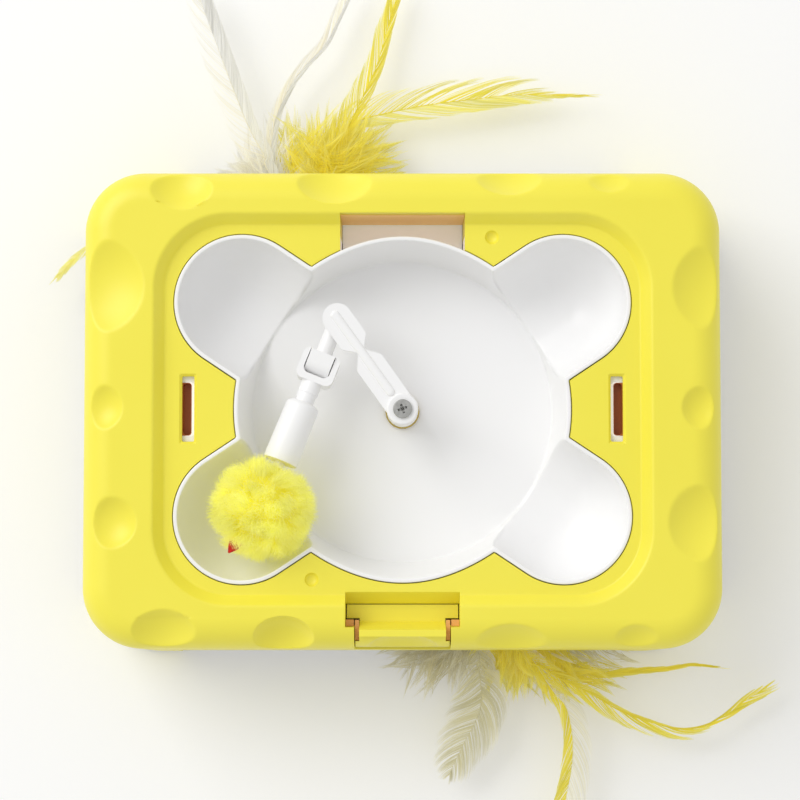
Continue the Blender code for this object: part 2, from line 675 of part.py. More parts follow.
def bowl_forms(name, offset, low, high):
    """Straight prisms of the bowl's outline grown by an offset: two crossed stadiums and the drum."""
    forms = []
    reach = math.hypot(LOBE_X, LOBE_Y)
    for i, way in enumerate((1, -1)):
        radius = LOBE_RADIUS + offset
        outline = []
        for end in (1, -1):
            for k in range(LOBE_END_STEPS * 2 + 1):
                turn = math.pi * (k / (LOBE_END_STEPS * 2) - 0.5)
                outline.append((end * (reach + radius * math.cos(turn)), end * radius * math.sin(turn)))
        stadium = prism(f"{name}_{i}", outline, low, high)
        forms.append(moved(stadium, Matrix.Rotation(way * math.atan2(LOBE_Y, LOBE_X), 4, "Z")))
    drum = [drum_point(DRUM_RADIUS + offset, i) for i in range(DRUM_STEPS)]
    forms.append(prism(f"{name}_drum", drum, low, high))
    return forms


def drum_point(radius, i):
    """The i-th point round the drum, which bulges a little at the front and the back."""
    turn = 2 * math.pi * i / DRUM_STEPS
    reach = radius + DRUM_BULGE * abs(math.sin(turn)) ** DRUM_BULGE_POWER
    return (reach * math.cos(turn), reach * math.sin(turn))


def drum_form(name, profile):
    rings = []
    for radius, height in profile:
        rings.append([Vector((*drum_point(radius, i), height)) for i in range(DRUM_STEPS)])
    return skin(name, rings)


def lobe_form(name, offset, way):
    """A round-ended bar along one diagonal, on the rim's level: its lower half scoops out two lobes."""
    radius, depth = LOBE_RADIUS - BOWL_WALL + offset, LOBE_DEPTH + offset
    reach = math.hypot(LOBE_X, LOBE_Y)
    rings = [[Vector((-reach - radius, 0, 0))]]
    for i in range(1, LOBE_END_STEPS + 1):
        turn = math.pi / 2 * i / LOBE_END_STEPS
        rings.append((-reach - radius * math.cos(turn), radius * math.sin(turn)))
    mirrored = [(-x, r) for x, r in reversed(rings[1:])]
    rings = [rings[0]] + [
        [Vector((x, r * math.cos(a), r * math.sin(a))) for a in turns(LOBE_STEPS)]
        for x, r in rings[1:] + mirrored
    ]
    rings.append([Vector((reach + radius, 0, 0))])
    bar = skin(name, rings)
    swing = Matrix.Rotation(way * math.atan2(LOBE_Y, LOBE_X), 4, "Z")
    squash = Matrix.Diagonal((1, 1, depth / radius, 1))
    return moved(bar, Matrix.Translation((0, 0, BOWL_RIM)) @ swing @ squash)


def turns(steps):
    return [2 * math.pi * i / steps for i in range(steps)]


def mirrored_box(name, low, high, sign):
    xs = sorted((sign * low[0], sign * high[0]))
    return box(name, (xs[0], low[1], low[2]), (xs[1], high[1], high[2]))


def make_housing():
    body = envelope("top_housing", 0.0, HOUSING_LEG_LIFT)
    cavity = envelope("cavity", HOUSING_WALL, -OVERRUN)
    half_x, half_y = RECESS_LENGTH / 2, RECESS_WIDTH / 2
    block = rounded(half_x + HOUSING_WALL, half_y + HOUSING_WALL, RECESS_CORNER + HOUSING_WALL)
    cut(cavity, prism("panel_block", block, PANEL_UNDERSIDE, HOUSING_HEIGHT + OVERRUN))
    latch_x = LATCH_HALF + HOUSING_WALL
    latch_low = LATCH_FLOOR_HEIGHT - LATCH_FLOOR_THICK
    low = (-latch_x, -HALF_WIDTH, latch_low)
    high = (latch_x, -LATCH_BACK + HOUSING_WALL, HOUSING_HEIGHT)
    cut(cavity, box("latch_block", low, high))
    skirt_x = REAR_NOTCH_HALF + HOUSING_WALL
    low = (-skirt_x, REAR_SKIRT_START, REAR_SKIRT_BOTTOM)
    high = (skirt_x, REAR_NOTCH_EDGE + HOUSING_WALL, HOUSING_HEIGHT)
    cut(cavity, box("skirt_block", low, high))
    for sx, sy in CORNER_SIGNS:
        post = ((BOSS_RADIUS, PLATE_TOP + FIT_GAP), (BOSS_RADIUS, HOUSING_HEIGHT))
        cut(cavity, turned("boss", post, (sx * BOSS_X, sy * BOSS_Y), SMALL_STEPS))
    for side, shares in all_holes():
        back = cheese_hole("hole_back", side, shares, HOUSING_WALL, HOLE_BACK_STEPS, HOLE_BACK_RINGS)
        cut(cavity, back)
    cut(body, cavity)
    cut_recess(body)
    for side, shares in all_holes():
        cut(body, cheese_hole("hole", side, shares))
    low, high = PANEL_UNDERSIDE - OVERRUN, RECESS_FLOOR + OVERRUN
    cut(body, *bowl_forms("bowl_opening", BOWL_OPENING_GAP, low, high))
    cut_notches(body)
    cut_arches(body)
    for x, y in DENT_PLACES:
        deep = DENT_RADIUS * DENT_DEPTH_SHARE
        ball = [(0, RECESS_FLOOR - deep)]
        for i in (1, 2, 3):
            turn = math.pi / 6 * i
            ball.append((DENT_RADIUS * math.sin(turn), RECESS_FLOOR - deep * math.cos(turn)))
        ball.append((DENT_RADIUS, RECESS_FLOOR + OVERRUN))
        cut(body, turned("dent", ball, (x, y), SMALL_STEPS))
    for sx, sy in CORNER_SIGNS:
        hole = ((BOSS_HOLE_RADIUS, 0), (BOSS_HOLE_RADIUS, PLATE_TOP + BOSS_HOLE_DEPTH))
        cut(body, turned("boss_hole", hole, (sx * BOSS_X, sy * BOSS_Y), SMALL_STEPS))
    return body


def cut_recess(body):
    half_x, half_y = RECESS_LENGTH / 2, RECESS_WIDTH / 2
    rings = []
    for part in (0, 1, 2):
        grow = RECESS_SLOPE * (part - 1)
        ring = rounded(half_x + grow, half_y + grow, RECESS_CORNER + grow)
        height = RECESS_FLOOR + RECESS_DEPTH * part
        rings.append([Vector((x, y, height)) for x, y in ring])
    cut(body, skin("recess", rings))


def cut_notches(body):
    top = HOUSING_HEIGHT + OVERRUN
    low = (-REAR_NOTCH_HALF, LOBE_Y, REAR_SKIRT_BOTTOM - OVERRUN)
    cut(body, box("rear_notch", low, (REAR_NOTCH_HALF, REAR_NOTCH_EDGE, top)))
    slope = (LATCH_BACK_FOOT - LATCH_BACK) / (RECESS_FLOOR - LATCH_FLOOR_HEIGHT)
    bottom = LATCH_FLOOR_HEIGHT - OVERRUN
    profile = (
        (-LATCH_BACK + slope * (top - RECESS_FLOOR), top),
        (-LATCH_SHOULDER, top),
        (-LATCH_SHOULDER, bottom),
        (-LATCH_BACK_FOOT, bottom),
        (-LATCH_BACK_FOOT, LATCH_FLOOR_HEIGHT),
    )
    cut(body, slab("latch_pocket", profile, LATCH_HALF))
    low = (-TONGUE_HALF, -HALF_WIDTH - OVERRUN, TONGUE_BOTTOM - TONGUE_DROP_GAP)
    cut(body, box("latch_window", low, (TONGUE_HALF, -LATCH_BACK_FOOT, top)))
    for sign in (1, -1):
        rings = []
        low, middle, high = PANEL_UNDERSIDE - OVERRUN, RECESS_FLOOR - SLOT_CHAMFER, RECESS_FLOOR + SLOT_CHAMFER
        for grow, height in ((0, low), (0, middle), (2, high)):
            grown = grow * SLOT_CHAMFER
            x, y = SLOT_WIDTH / 2 + grown, SLOT_LENGTH / 2 + grown
            ring = ((-x, -y), (x, -y), (x, y), (-x, y))
            rings.append([Vector((sign * SLOT_X + px, py, height)) for px, py in ring])
        cut(body, skin("clip_slot", rings))


def cut_arches(body):
    """Low arches in all four walls, for the feathers, which leave a leg at each corner."""
    arches = ((FRONT_ARCH_HALF, HALF_WIDTH, 0), (SIDE_ARCH_HALF, HALF_LENGTH, math.pi / 2))
    for half, edge, swing in arches:
        arch = rounded(half, ARCH_HEIGHT, ARCH_CORNER, 4)
        rings = [[Vector((x, y, z)) for x, z in arch] for y in (-edge - OVERRUN, edge + OVERRUN)]
        cut(body, moved(skin("arch", rings), Matrix.Rotation(swing, 4, "Z")))


def make_bowl():
    body = drum_form("play_bowl", (
        (DRUM_FLOOR_RADIUS - DRUM_FOOT_FILLET + BOWL_WALL, BOWL_UNDERSIDE),
        (DRUM_FLOOR_RADIUS + BOWL_WALL, BOWL_UNDERSIDE + DRUM_FOOT_FILLET),
        (DRUM_RADIUS, BOWL_RIM),
        (DRUM_RADIUS, BOWL_RIM + OVERRUN),
    ))
    for way in (1, -1):
        join(body, lobe_form("lobe", BOWL_WALL, way))
    flange, *others = bowl_forms("flange", FLANGE_WIDTH, FLANGE_BOTTOM, FLANGE_TOP)
    join(flange, *others)
    rear = REAR_NOTCH_HALF + HOUSING_WALL + FIT_GAP
    low, high = FLANGE_BOTTOM - OVERRUN, FLANGE_TOP + OVERRUN
    cut(flange, box("rear_relief", (-rear, LOBE_Y, low), (rear, HALF_WIDTH, high)))
    front = LATCH_HALF + HOUSING_WALL + FIT_GAP
    cut(flange, box("front_relief", (-front, -HALF_WIDTH, low), (front, -LOBE_Y, high)))
    join(body, flange)
    rim_inner = DRUM_RADIUS - BOWL_WALL
    slope = (rim_inner - DRUM_FLOOR_RADIUS) / BOWL_DEPTH
    inside = [(DRUM_FLOOR_RADIUS - DRUM_FOOT_FILLET, BOWL_FLOOR_TOP)]
    for i in (1, 2, 3):
        turn = math.pi / 6 * i
        inside.append((
            DRUM_FLOOR_RADIUS - DRUM_FOOT_FILLET * (1 - math.sin(turn)) + slope * DRUM_FOOT_FILLET * i / 3,
            BOWL_FLOOR_TOP + DRUM_FOOT_FILLET * (1 - math.cos(turn)),
        ))
    inside.append((rim_inner, BOWL_RIM))
    inside.append((rim_inner, BOWL_RIM + 2 * OVERRUN))
    for way in (1, -1):
        cut(body, lobe_form("scoop", 0.0, way))
    cut(body, drum_form("drum", inside))
    top = BOWL_RIM + LOBE_DEPTH + BOWL_WALL + OVERRUN
    cut(body, box("above_rim", (-HALF_LENGTH, -HALF_WIDTH, BOWL_RIM), (HALF_LENGTH, HALF_WIDTH, top)))
    hole = BUSH_RADIUS + RUNNING_GAP
    cut(body, turned("bush_hole", ((hole, BOWL_UNDERSIDE - OVERRUN), (hole, BOWL_FLOOR_TOP + OVERRUN))))
    return body


def make_latch_tongue():
    body = envelope("latch_tongue", TONGUE_SINK, PLATE_BOTTOM)
    half = TONGUE_HALF - TONGUE_SIDE_GAP
    low = (-half, -HALF_WIDTH - OVERRUN, TONGUE_BOTTOM)
    keep(body, box("tongue_part", low, (half, -TONGUE_SLOPE_TOP, HOUSING_HEIGHT + OVERRUN)))
    inside = envelope("tongue_inside", TONGUE_SINK + HOUSING_WALL, 0.0)
    cut(inside, latch_hole("latch_hole_back", HOUSING_WALL, HOLE_BACK_STEPS, HOLE_BACK_RINGS))
    cut(body, inside)
    top = HOUSING_HEIGHT - TONGUE_SINK
    back = LATCH_BACK_FOOT + FIT_GAP
    floor, under = LATCH_FLOOR_HEIGHT, LATCH_FLOOR_HEIGHT - LATCH_FLOOR_THICK
    thick = HOUSING_WALL
    profile = (
        (-back, under),
        (-TONGUE_SLOPE_FOOT - thick, under),
        (-TONGUE_SLOPE_TOP - thick, top),
        (-TONGUE_SLOPE_TOP, top),
        (-TONGUE_SLOPE_FOOT, floor),
        (-back, floor),
    )
    join(body, slab("tongue_slope", profile, TONGUE_NECK_HALF))
    side = LATCH_HALF - TONGUE_SIDE_GAP
    join(body, box("tongue_floor", (-side, -TONGUE_FLOOR_END, under), (side, -back, floor)))
    for sign in (1, -1):
        low = (TONGUE_NECK_HALF, -TONGUE_SLOT_END, floor)
        high = (TONGUE_HALF + OVERRUN, -LATCH_BACK, top + OVERRUN)
        cut(body, mirrored_box("tongue_slot", low, high, sign))
    return cut(body, latch_hole("latch_hole"))


def plate_outline(height, grow=0.0):
    inset = wall_inset(height, HOUSING_WALL + FIT_GAP) - grow
    return rounded(HALF_LENGTH - inset, HALF_WIDTH - inset, HOUSING_CORNER - inset)


def leg_form(name, sign, inner, low, high):
    """A corner block inside the housing's drafted corner, drawn in by a wall."""
    rings = []
    for height in (low, high):
        inset = wall_inset(height, HOUSING_WALL + FIT_GAP) + inner
        half_x, half_y, radius = HALF_LENGTH - inset, HALF_WIDTH - inset, HOUSING_CORNER - inset
        x, y = LEG_INNER_X + inner, LEG_INNER_Y + inner
        first = math.asin((y - half_y + radius) / radius)
        outline = [(x, y)]
        for i in range(CORNER_STEPS + 1):
            turn = first + (math.pi / 2 - first) * i / CORNER_STEPS
            round_x, round_y = radius * math.cos(turn), radius * math.sin(turn)
            outline.append((half_x - radius + round_x, half_y - radius + round_y))
        outline.append((x, half_y))
        rings.append([Vector((sign[0] * px, sign[1] * py, height)) for px, py in outline])
    return skin(name, rings)


def make_chassis():
    body = prism("chassis", plate_outline(PLATE_TOP), PLATE_BOTTOM, PLATE_TOP)
    sink = SEAT_GAP
    for sign in CORNER_SIGNS:
        join(body, leg_form("leg", sign, 0.0, LEG_BOTTOM, PLATE_BOTTOM + PLATE_THICK / 2))
        cut(body, leg_form("leg_cup", sign, LEG_WALL, LEG_BOTTOM + LEG_WALL, PLATE_TOP + OVERRUN))
    wall = CHASSIS_WALL
    bay_low = (BAY_X - BAY_HALF_X - wall, -BAY_HALF_Y - wall, PLATE_BOTTOM + PLATE_THICK / 2)
    bay_high = (BAY_X + BAY_HALF_X + wall, BAY_HALF_Y + wall, BAY_ROOF)
    join(body, box("bay", bay_low, bay_high))
    for sign in (1, -1):
        low = (SLOT_X - TOWER_WIDTH / 2, -TOWER_LENGTH / 2, PLATE_BOTTOM + PLATE_THICK / 2)
        high = (SLOT_X + TOWER_WIDTH / 2, TOWER_LENGTH / 2, PANEL_UNDERSIDE - FIT_GAP)
        join(body, mirrored_box("tower", low, high, sign))
        post = ((POST_RADIUS, PLATE_TOP - PLATE_THICK / 2), (POST_RADIUS, FLANGE_BOTTOM - FIT_GAP))
        join(body, turned("side_post", post, (sign * SIDE_POST_X, 0), SMALL_STEPS))
    for sx, sy in CORNER_SIGNS:
        post = ((POST_RADIUS, PLATE_TOP - PLATE_THICK / 2), (POST_RADIUS, FLANGE_BOTTOM - FIT_GAP))
        join(body, turned("post", post, (sx * POST_X, sy * POST_Y), SMALL_STEPS))
    low = (-REAR_BOX_HALF, REAR_BOX_START, PLATE_BOTTOM + PLATE_THICK / 2)
    join(body, box("rear_box", low, (REAR_BOX_HALF, REAR_BOX_END, REAR_DECK_HEIGHT)))
    boss = ((DOOR_BOSS_RADIUS, PLATE_BOTTOM + PLATE_THICK / 2), (DOOR_BOSS_RADIUS, DOOR_BOSS_TOP))
    join(body, turned("door_boss", boss, door_screw_place(), SMALL_STEPS))
    boss = ((AXLE_BOSS_RADIUS, PLATE_BOTTOM + PLATE_THICK / 2), (AXLE_BOSS_RADIUS, AXLE_BOSS_TOP))
    join(body, turned("axle_boss", boss, compound_place(), SMALL_STEPS))
    for sign in (1, -1):
        cut(body, mirrored_tower_mouth(sign))
    inner_low = (-REAR_BOX_HALF + wall, REAR_BOX_START - OVERRUN, PLATE_TOP)
    inner_high = (REAR_BOX_HALF - wall, REAR_BOX_END - wall, REAR_DECK_HEIGHT - wall)
    cut(body, box("rear_box_inside", inner_low, inner_high))
    for sign in (1, -1):
        rail_x = BOARD_HALF_X - BOARD_RAIL
        low = (rail_x, REAR_BOX_START, PLATE_TOP - PLATE_THICK / 2)
        high = (REAR_BOX_HALF - wall / 2, REAR_BOX_END - wall / 2, BOARD_HEIGHT - FIT_GAP)
        join(body, mirrored_box("board_rail", low, high, sign))
    bay_inside = (BAY_X - BAY_HALF_X, -BAY_HALF_Y, PLATE_BOTTOM - OVERRUN)
    cut(body, box("bay_inside", bay_inside, (BAY_X + BAY_HALF_X, BAY_HALF_Y, BAY_ROOF - BAY_ROOF_THICK)))
    low, high = door_box(FIT_GAP)
    cut(body, box("door_recess", (*low, PLATE_BOTTOM - OVERRUN), (*high, PLATE_BOTTOM + DOOR_THICK + sink)))
    drill(body, door_screw_place(), DOOR_SCREW_RADIUS + RUNNING_GAP, PLATE_BOTTOM, DOOR_BOSS_TOP - wall)
    drill(body, compound_place(), AXLE_RADIUS + RUNNING_GAP, AXLE_LOW - sink, AXLE_BOSS_TOP + OVERRUN)
    drill(body, (0, 0), BUSH_RADIUS + RUNNING_GAP, PLATE_BOTTOM - OVERRUN, PLATE_TOP + OVERRUN, ROUND_STEPS)
    drill(body, motor_place(), MOTOR_RADIUS + FIT_GAP, MOTOR_LOW - sink, PLATE_TOP + OVERRUN, ROUND_STEPS)
    for sx, sy in CORNER_SIGNS:
        place = (sx * BOSS_X, sy * BOSS_Y)
        drill(body, place, SCREW_RADIUS + FIT_GAP, PLATE_BOTTOM - OVERRUN, PLATE_TOP + OVERRUN)
        drill(body, place, SCREW_HEAD_RADIUS + FIT_GAP, PLATE_BOTTOM - OVERRUN, PLATE_BOTTOM + SCREW_SINK)
    pilot = DOOR_SCREW_RADIUS + RUNNING_GAP
    for place in COVER_EAR_PLACES:
        drill(body, place, pilot, PLATE_BOTTOM + CHASSIS_WALL / 2, PLATE_TOP + OVERRUN)
    slot_x = KNOB_HALF + SWITCH_TRAVEL / 2 + FIT_GAP
    low = (SWITCH_X - slot_x, -KNOB_HALF - FIT_GAP, PLATE_BOTTOM - OVERRUN)
    return cut(body, box("switch_slot", low, (SWITCH_X + slot_x, KNOB_HALF + FIT_GAP, PLATE_TOP + OVERRUN)))


def drill(body, place, radius, low, high, steps=SMALL_STEPS):
    return cut(body, turned("drill", ((radius, low), (radius, high)), place, steps))


def mirrored_tower_mouth(sign):
    mouth = rounded(SLOT_WIDTH / 2, TOWER_MOUTH_LENGTH / 2, TOWER_MOUTH_CORNER, 3)
    top = PANEL_UNDERSIDE + OVERRUN
    shape = prism("tower_mouth", mouth, PANEL_UNDERSIDE - TOWER_DEPTH, top)
    return moved(shape, Matrix.Translation((sign * SLOT_X, 0, 0)))


def door_screw_place():
    return (BAY_X, -BAY_HALF_Y - DOOR_EAR / 2 - CHASSIS_WALL / 2)


def door_box(grow):
    low = (BAY_X - BAY_HALF_X - DOOR_LEDGE - grow, -BAY_HALF_Y - DOOR_EAR - grow)
    return low, (BAY_X + BAY_HALF_X + DOOR_LEDGE + grow, BAY_HALF_Y + DOOR_LEDGE + grow)


def compound_place():
    reach = OUTPUT_MODULE * (SMALL_TEETH + OUTPUT_TEETH) / 2 + GEAR_SPREAD
    return (reach * math.cos(COMPOUND_ANGLE), reach * math.sin(COMPOUND_ANGLE))


def motor_place():
    x, y = compound_place()
    reach = MOTOR_MODULE * (MOTOR_TEETH + WHEEL_TEETH) / 2 + GEAR_SPREAD
    return (x + reach * math.cos(MOTOR_ANGLE), y + reach * math.sin(MOTOR_ANGLE))


def gear_outline(teeth, module, start, centre):
    """Straight-flanked teeth, the first one centred on the start angle."""
    pitch = module * teeth / 2
    tip, root = pitch + ADDENDUM_SHARE * module, pitch - DEDENDUM_SHARE * module
    points = []
    for tooth in range(teeth):
        middle = start + 2 * math.pi * tooth / teeth
        for radius, side in ((root, -1), (tip, -1), (tip, 1), (root, 1)):
            half = math.pi * module / 4 - GEAR_BACKLASH / 2 + (pitch - radius) * math.tan(TOOTH_SLOPE)
            turn = middle + side * half / radius
            points.append((centre[0] + radius * math.cos(turn), centre[1] + radius * math.sin(turn)))
    return points


def mesh_start(teeth, towards):
    """The start angle that leaves a gap, not a tooth, facing a meshing gear."""
    return towards + math.pi / teeth


def make_gears():
    centre, motor = compound_place(), motor_place()
    output = prism("output_gear", gear_outline(OUTPUT_TEETH, OUTPUT_MODULE, COMPOUND_ANGLE, (0, 0)),
                   OUTPUT_GEAR_LOW, OUTPUT_GEAR_HIGH)
    hub = ((OUTPUT_HUB_RADIUS, OUTPUT_HUB_LOW), (OUTPUT_HUB_RADIUS, OUTPUT_GEAR_HIGH))
    join(output, turned("gear_hub", hub))
    bore = SPINDLE_RADIUS + RUNNING_GAP
    drill(output, (0, 0), bore, OUTPUT_HUB_LOW - OVERRUN, OUTPUT_GEAR_HIGH + OVERRUN, ROUND_STEPS)
    small = gear_outline(SMALL_TEETH, OUTPUT_MODULE, mesh_start(SMALL_TEETH, COMPOUND_ANGLE + math.pi), centre)
    compound = prism("compound_gear", small, SMALL_GEAR_LOW, WHEEL_HIGH)
    wheel = gear_outline(WHEEL_TEETH, MOTOR_MODULE, MOTOR_ANGLE, centre)
    join(compound, prism("wheel", wheel, WHEEL_LOW, WHEEL_HIGH))
    drill(compound, centre, AXLE_RADIUS + RUNNING_GAP, SMALL_GEAR_LOW - OVERRUN, WHEEL_HIGH + OVERRUN)
    pinion_start = mesh_start(MOTOR_TEETH, MOTOR_ANGLE + math.pi)
    outline = gear_outline(MOTOR_TEETH, MOTOR_MODULE, pinion_start, motor)
    pinion = prism("motor_pinion", outline, PINION_LOW, PINION_HIGH)
    bore = MOTOR_SHAFT_RADIUS + RUNNING_GAP / 2
    drill(pinion, motor, bore, PINION_LOW - OVERRUN, PINION_HIGH + OVERRUN)
    return output, compound, pinion


def make_drive():
    motor, centre = motor_place(), compound_place()
    can = turned("motor_can", (
        (MOTOR_RADIUS - CHASSIS_WALL / 2, MOTOR_LOW),
        (MOTOR_RADIUS, MOTOR_LOW + CHASSIS_WALL / 2),
        (MOTOR_RADIUS, MOTOR_HIGH),
        (MOTOR_NOSE_RADIUS, MOTOR_HIGH),
        (MOTOR_NOSE_RADIUS, MOTOR_NOSE_HIGH),
    ), motor)
    bore = MOTOR_SHAFT_RADIUS + RUNNING_GAP
    drill(can, motor, bore, MOTOR_SHAFT_LOW - SEAT_GAP, MOTOR_NOSE_HIGH + OVERRUN)
    shaft_high = PINION_HIGH - SEAT_GAP
    shaft = turned("motor_shaft", ((MOTOR_SHAFT_RADIUS, MOTOR_SHAFT_LOW), (MOTOR_SHAFT_RADIUS, shaft_high)),
                   motor, SMALL_STEPS)
    axle = turned("gear_axle", ((AXLE_RADIUS, AXLE_LOW), (AXLE_RADIUS, AXLE_HIGH)), centre, SMALL_STEPS)
    spindle = turned("spindle_shaft", ((SPINDLE_RADIUS, SPINDLE_LOW), (SPINDLE_RADIUS, SPINDLE_HIGH)))
    top, low = SPINDLE_HIGH - SPINDLE_HOLE_DEPTH, SPINDLE_LOW + SPINDLE_HOLE_DEPTH
    drill(spindle, (0, 0), SPINDLE_HOLE_RADIUS, top, SPINDLE_HIGH + OVERRUN, ROUND_STEPS)
    drill(spindle, (0, 0), SPINDLE_HOLE_RADIUS, SPINDLE_LOW - OVERRUN, low, ROUND_STEPS)
    bore = SPINDLE_RADIUS + RUNNING_GAP
    floor = BOWL_FLOOR_TOP + SEAT_GAP
    upper = sleeve("upper_bush", (
        (bore, UPPER_BUSH_LOW),
        (BUSH_RADIUS, UPPER_BUSH_LOW),
        (BUSH_RADIUS, floor),
        (BUSH_FLANGE_RADIUS, floor),
        (BUSH_FLANGE_RADIUS, floor + BUSH_FLANGE_THICK),
        (bore, floor + BUSH_FLANGE_THICK),
    ))
    under = PLATE_BOTTOM - SEAT_GAP
    lower = sleeve("lower_bush", (
        (bore, under - BUSH_FLANGE_THICK),
        (BUSH_FLANGE_RADIUS, under - BUSH_FLANGE_THICK),
        (BUSH_FLANGE_RADIUS, under),
        (BUSH_RADIUS, under),
        (BUSH_RADIUS, LOWER_BUSH_HIGH),
        (bore, LOWER_BUSH_HIGH),
    ))
    return can, shaft, axle, spindle, upper, lower


def make_gearbox_cover():
    tip = OUTPUT_MODULE * (OUTPUT_TEETH / 2 + 1)
    wheel_tip = MOTOR_MODULE * (WHEEL_TEETH / 2 + 1)
    rounds = (((0, 0), tip), (compound_place(), wheel_tip), (motor_place(), MOTOR_RADIUS + FIT_GAP))
    low = PLATE_TOP + SEAT_GAP

    def hull(margin):
        points = [p for place, r in rounds for p in circle(r + margin, ROUND_STEPS, place)]
        return [points[i] for i in convex_hull_2d(points)]

    body = prism("gearbox_cover", hull(COVER_MARGIN), low, COVER_TOP)
    for place in COVER_EAR_PLACES:
        ear = ((COVER_EAR_RADIUS, low), (COVER_EAR_RADIUS, low + COVER_EAR_THICK))
        join(body, turned("ear", ear, place, SMALL_STEPS))
    cut(body, prism("cover_inside", hull(COVER_MARGIN / 3), low - OVERRUN, COVER_TOP - COVER_THICK))
    drill(body, (0, 0), COVER_HOLE_RADIUS, BAY_ROOF - OVERRUN, BAY_ROOF + OVERRUN, ROUND_STEPS)
    drill(body, compound_place(), AXLE_RADIUS + RUNNING_GAP, COVER_TOP - OVERRUN / 2, COVER_TOP + OVERRUN)
    for place in COVER_EAR_PLACES:
        drill(body, place, DOOR_SCREW_RADIUS + RUNNING_GAP, low - OVERRUN, low + COVER_EAR_THICK + OVERRUN)
    return body


def screw(name, place, radius, head, thick, seat, length, up):
    """A pan-head screw whose head bears on a seat height; up is 1 where its shank points up."""
    tip = seat + up * length
    outer = seat - up * thick
    rim = (head, outer + up * thick / 3)
    profile = [(radius, tip), (radius, seat), (head, seat), rim, (head * SCREW_FLAT_SHARE, outer)]
    return turned(name, profile[:: -up], place, SMALL_STEPS)


def make_screws():
    lift = PLATE_BOTTOM + SCREW_SINK - SEAT_GAP
    made = [
        screw(f"housing_screw_{corner}", (sx * BOSS_X, sy * BOSS_Y), SCREW_RADIUS, SCREW_HEAD_RADIUS,
              SCREW_HEAD_THICK, lift, SCREW_LENGTH, 1)
        for corner, (sx, sy) in CORNERS.items()
    ]
    ear_top = PLATE_TOP + SEAT_GAP * 2 + COVER_EAR_THICK
    made += [
        screw(f"gearbox_screw_{side}", place, DOOR_SCREW_RADIUS, DOOR_SCREW_HEAD, SCREW_HEAD_THICK, ear_top,
              COVER_EAR_THICK + CHASSIS_WALL, -1)
        for side, place in zip(("rear", "front"), COVER_EAR_PLACES)
    ]
    made.append(screw("battery_door_screw", door_screw_place(), DOOR_SCREW_RADIUS, DOOR_SCREW_HEAD,
                      SCREW_HEAD_THICK / 2, PLATE_BOTTOM - SEAT_GAP, DOOR_SCREW_LENGTH, 1))
    return made


def make_feet():
    pads = []
    for corner, (sx, sy) in CORNERS.items():
        profile = (
            (FOOT_RADIUS - SEAT_GAP, 0),
            (FOOT_RADIUS, SEAT_GAP),
            (FOOT_RADIUS, LEG_BOTTOM - SEAT_GAP),
        )
        pads.append(turned(f"rubber_foot_{corner}", profile, (sx * FOOT_X, sy * FOOT_Y), ROUND_STEPS))
    return pads


def cell_places():
    return [BAY_X + CELL_PITCH * (i - (CELL_COUNT - 1) / 2) for i in range(CELL_COUNT)]


def make_battery_parts():
    cells = []
    height = CELL_LOW + CELL_RADIUS
    half = CELL_LENGTH / 2
    for i, x in enumerate(cell_places()):
        way = 1 if i % 2 == 0 else -1
        cell = turned(f"battery_{i + 1}", (
            (CELL_RADIUS, -half),
            (CELL_RADIUS, half - CELL_NUB_LENGTH),
            (CELL_NUB_RADIUS, half - CELL_NUB_LENGTH),
            (CELL_NUB_RADIUS, half),
        ), (0, 0), ROUND_STEPS)
        lay = Matrix.Translation((x, 0, height)) @ Matrix.Rotation(-way * math.pi / 2, 4, "X")
        cells.append(moved(cell, lay))
    low, high = door_box(0.0)
    door = box("battery_door", (*low, PLATE_BOTTOM), (*high, PLATE_BOTTOM + DOOR_THICK))
    for sign in (1, -1):
        ys = sorted((sign * DOOR_RIB_Y, sign * (DOOR_RIB_Y + DOOR_RIB_WIDTH)))
        rib_x = BAY_HALF_X - CHASSIS_WALL
        rib_low = (BAY_X - rib_x, ys[0], PLATE_BOTTOM + DOOR_THICK / 2)
        rib_high = (BAY_X + rib_x, ys[1], PLATE_BOTTOM + DOOR_THICK + DOOR_RIB_LIFT)
        join(door, box("door_rib", rib_low, rib_high))
    bore = DOOR_SCREW_RADIUS + RUNNING_GAP
    drill(door, door_screw_place(), bore, PLATE_BOTTOM - OVERRUN, PLATE_TOP + OVERRUN)
    return cells, door


def make_contacts():
    """Plates at both ends of the bay: each end has one over a single cell and one that bridges two."""
    height = CELL_LOW + CELL_RADIUS
    front = BAY_HALF_Y - SEAT_GAP - CONTACT_THICK
    reach = front - CELL_LENGTH / 2 - SEAT_GAP
    left, middle, right = cell_places()
    rows = (("rear_single", 1, (left,)), ("rear_bridge", 1, (middle, right)),
            ("front_bridge", -1, (left, middle)), ("front_single", -1, (right,)))
    made = []
    for name, end, cells in rows:
        ys = sorted((end * front, end * (front + CONTACT_THICK)))
        low = (cells[0] - CONTACT_HALF, ys[0], height - CONTACT_HALF)
        plate = box(f"battery_contact_{name}", low, (cells[-1] + CONTACT_HALF, ys[1], height + CONTACT_HALF))
        for x in cells:
            bump = turned("bump", (
                (CONTACT_SPRING_RADIUS, 0),
                (CONTACT_SPRING_TIP, reach + CONTACT_THICK / 2),
            ), (0, 0), SMALL_STEPS)
            root = Matrix.Translation((x, end * (front + CONTACT_THICK / 2), height))
            join(plate, moved(bump, root @ Matrix.Rotation(end * math.pi / 2, 4, "X")))
        made.append(plate)
    return made


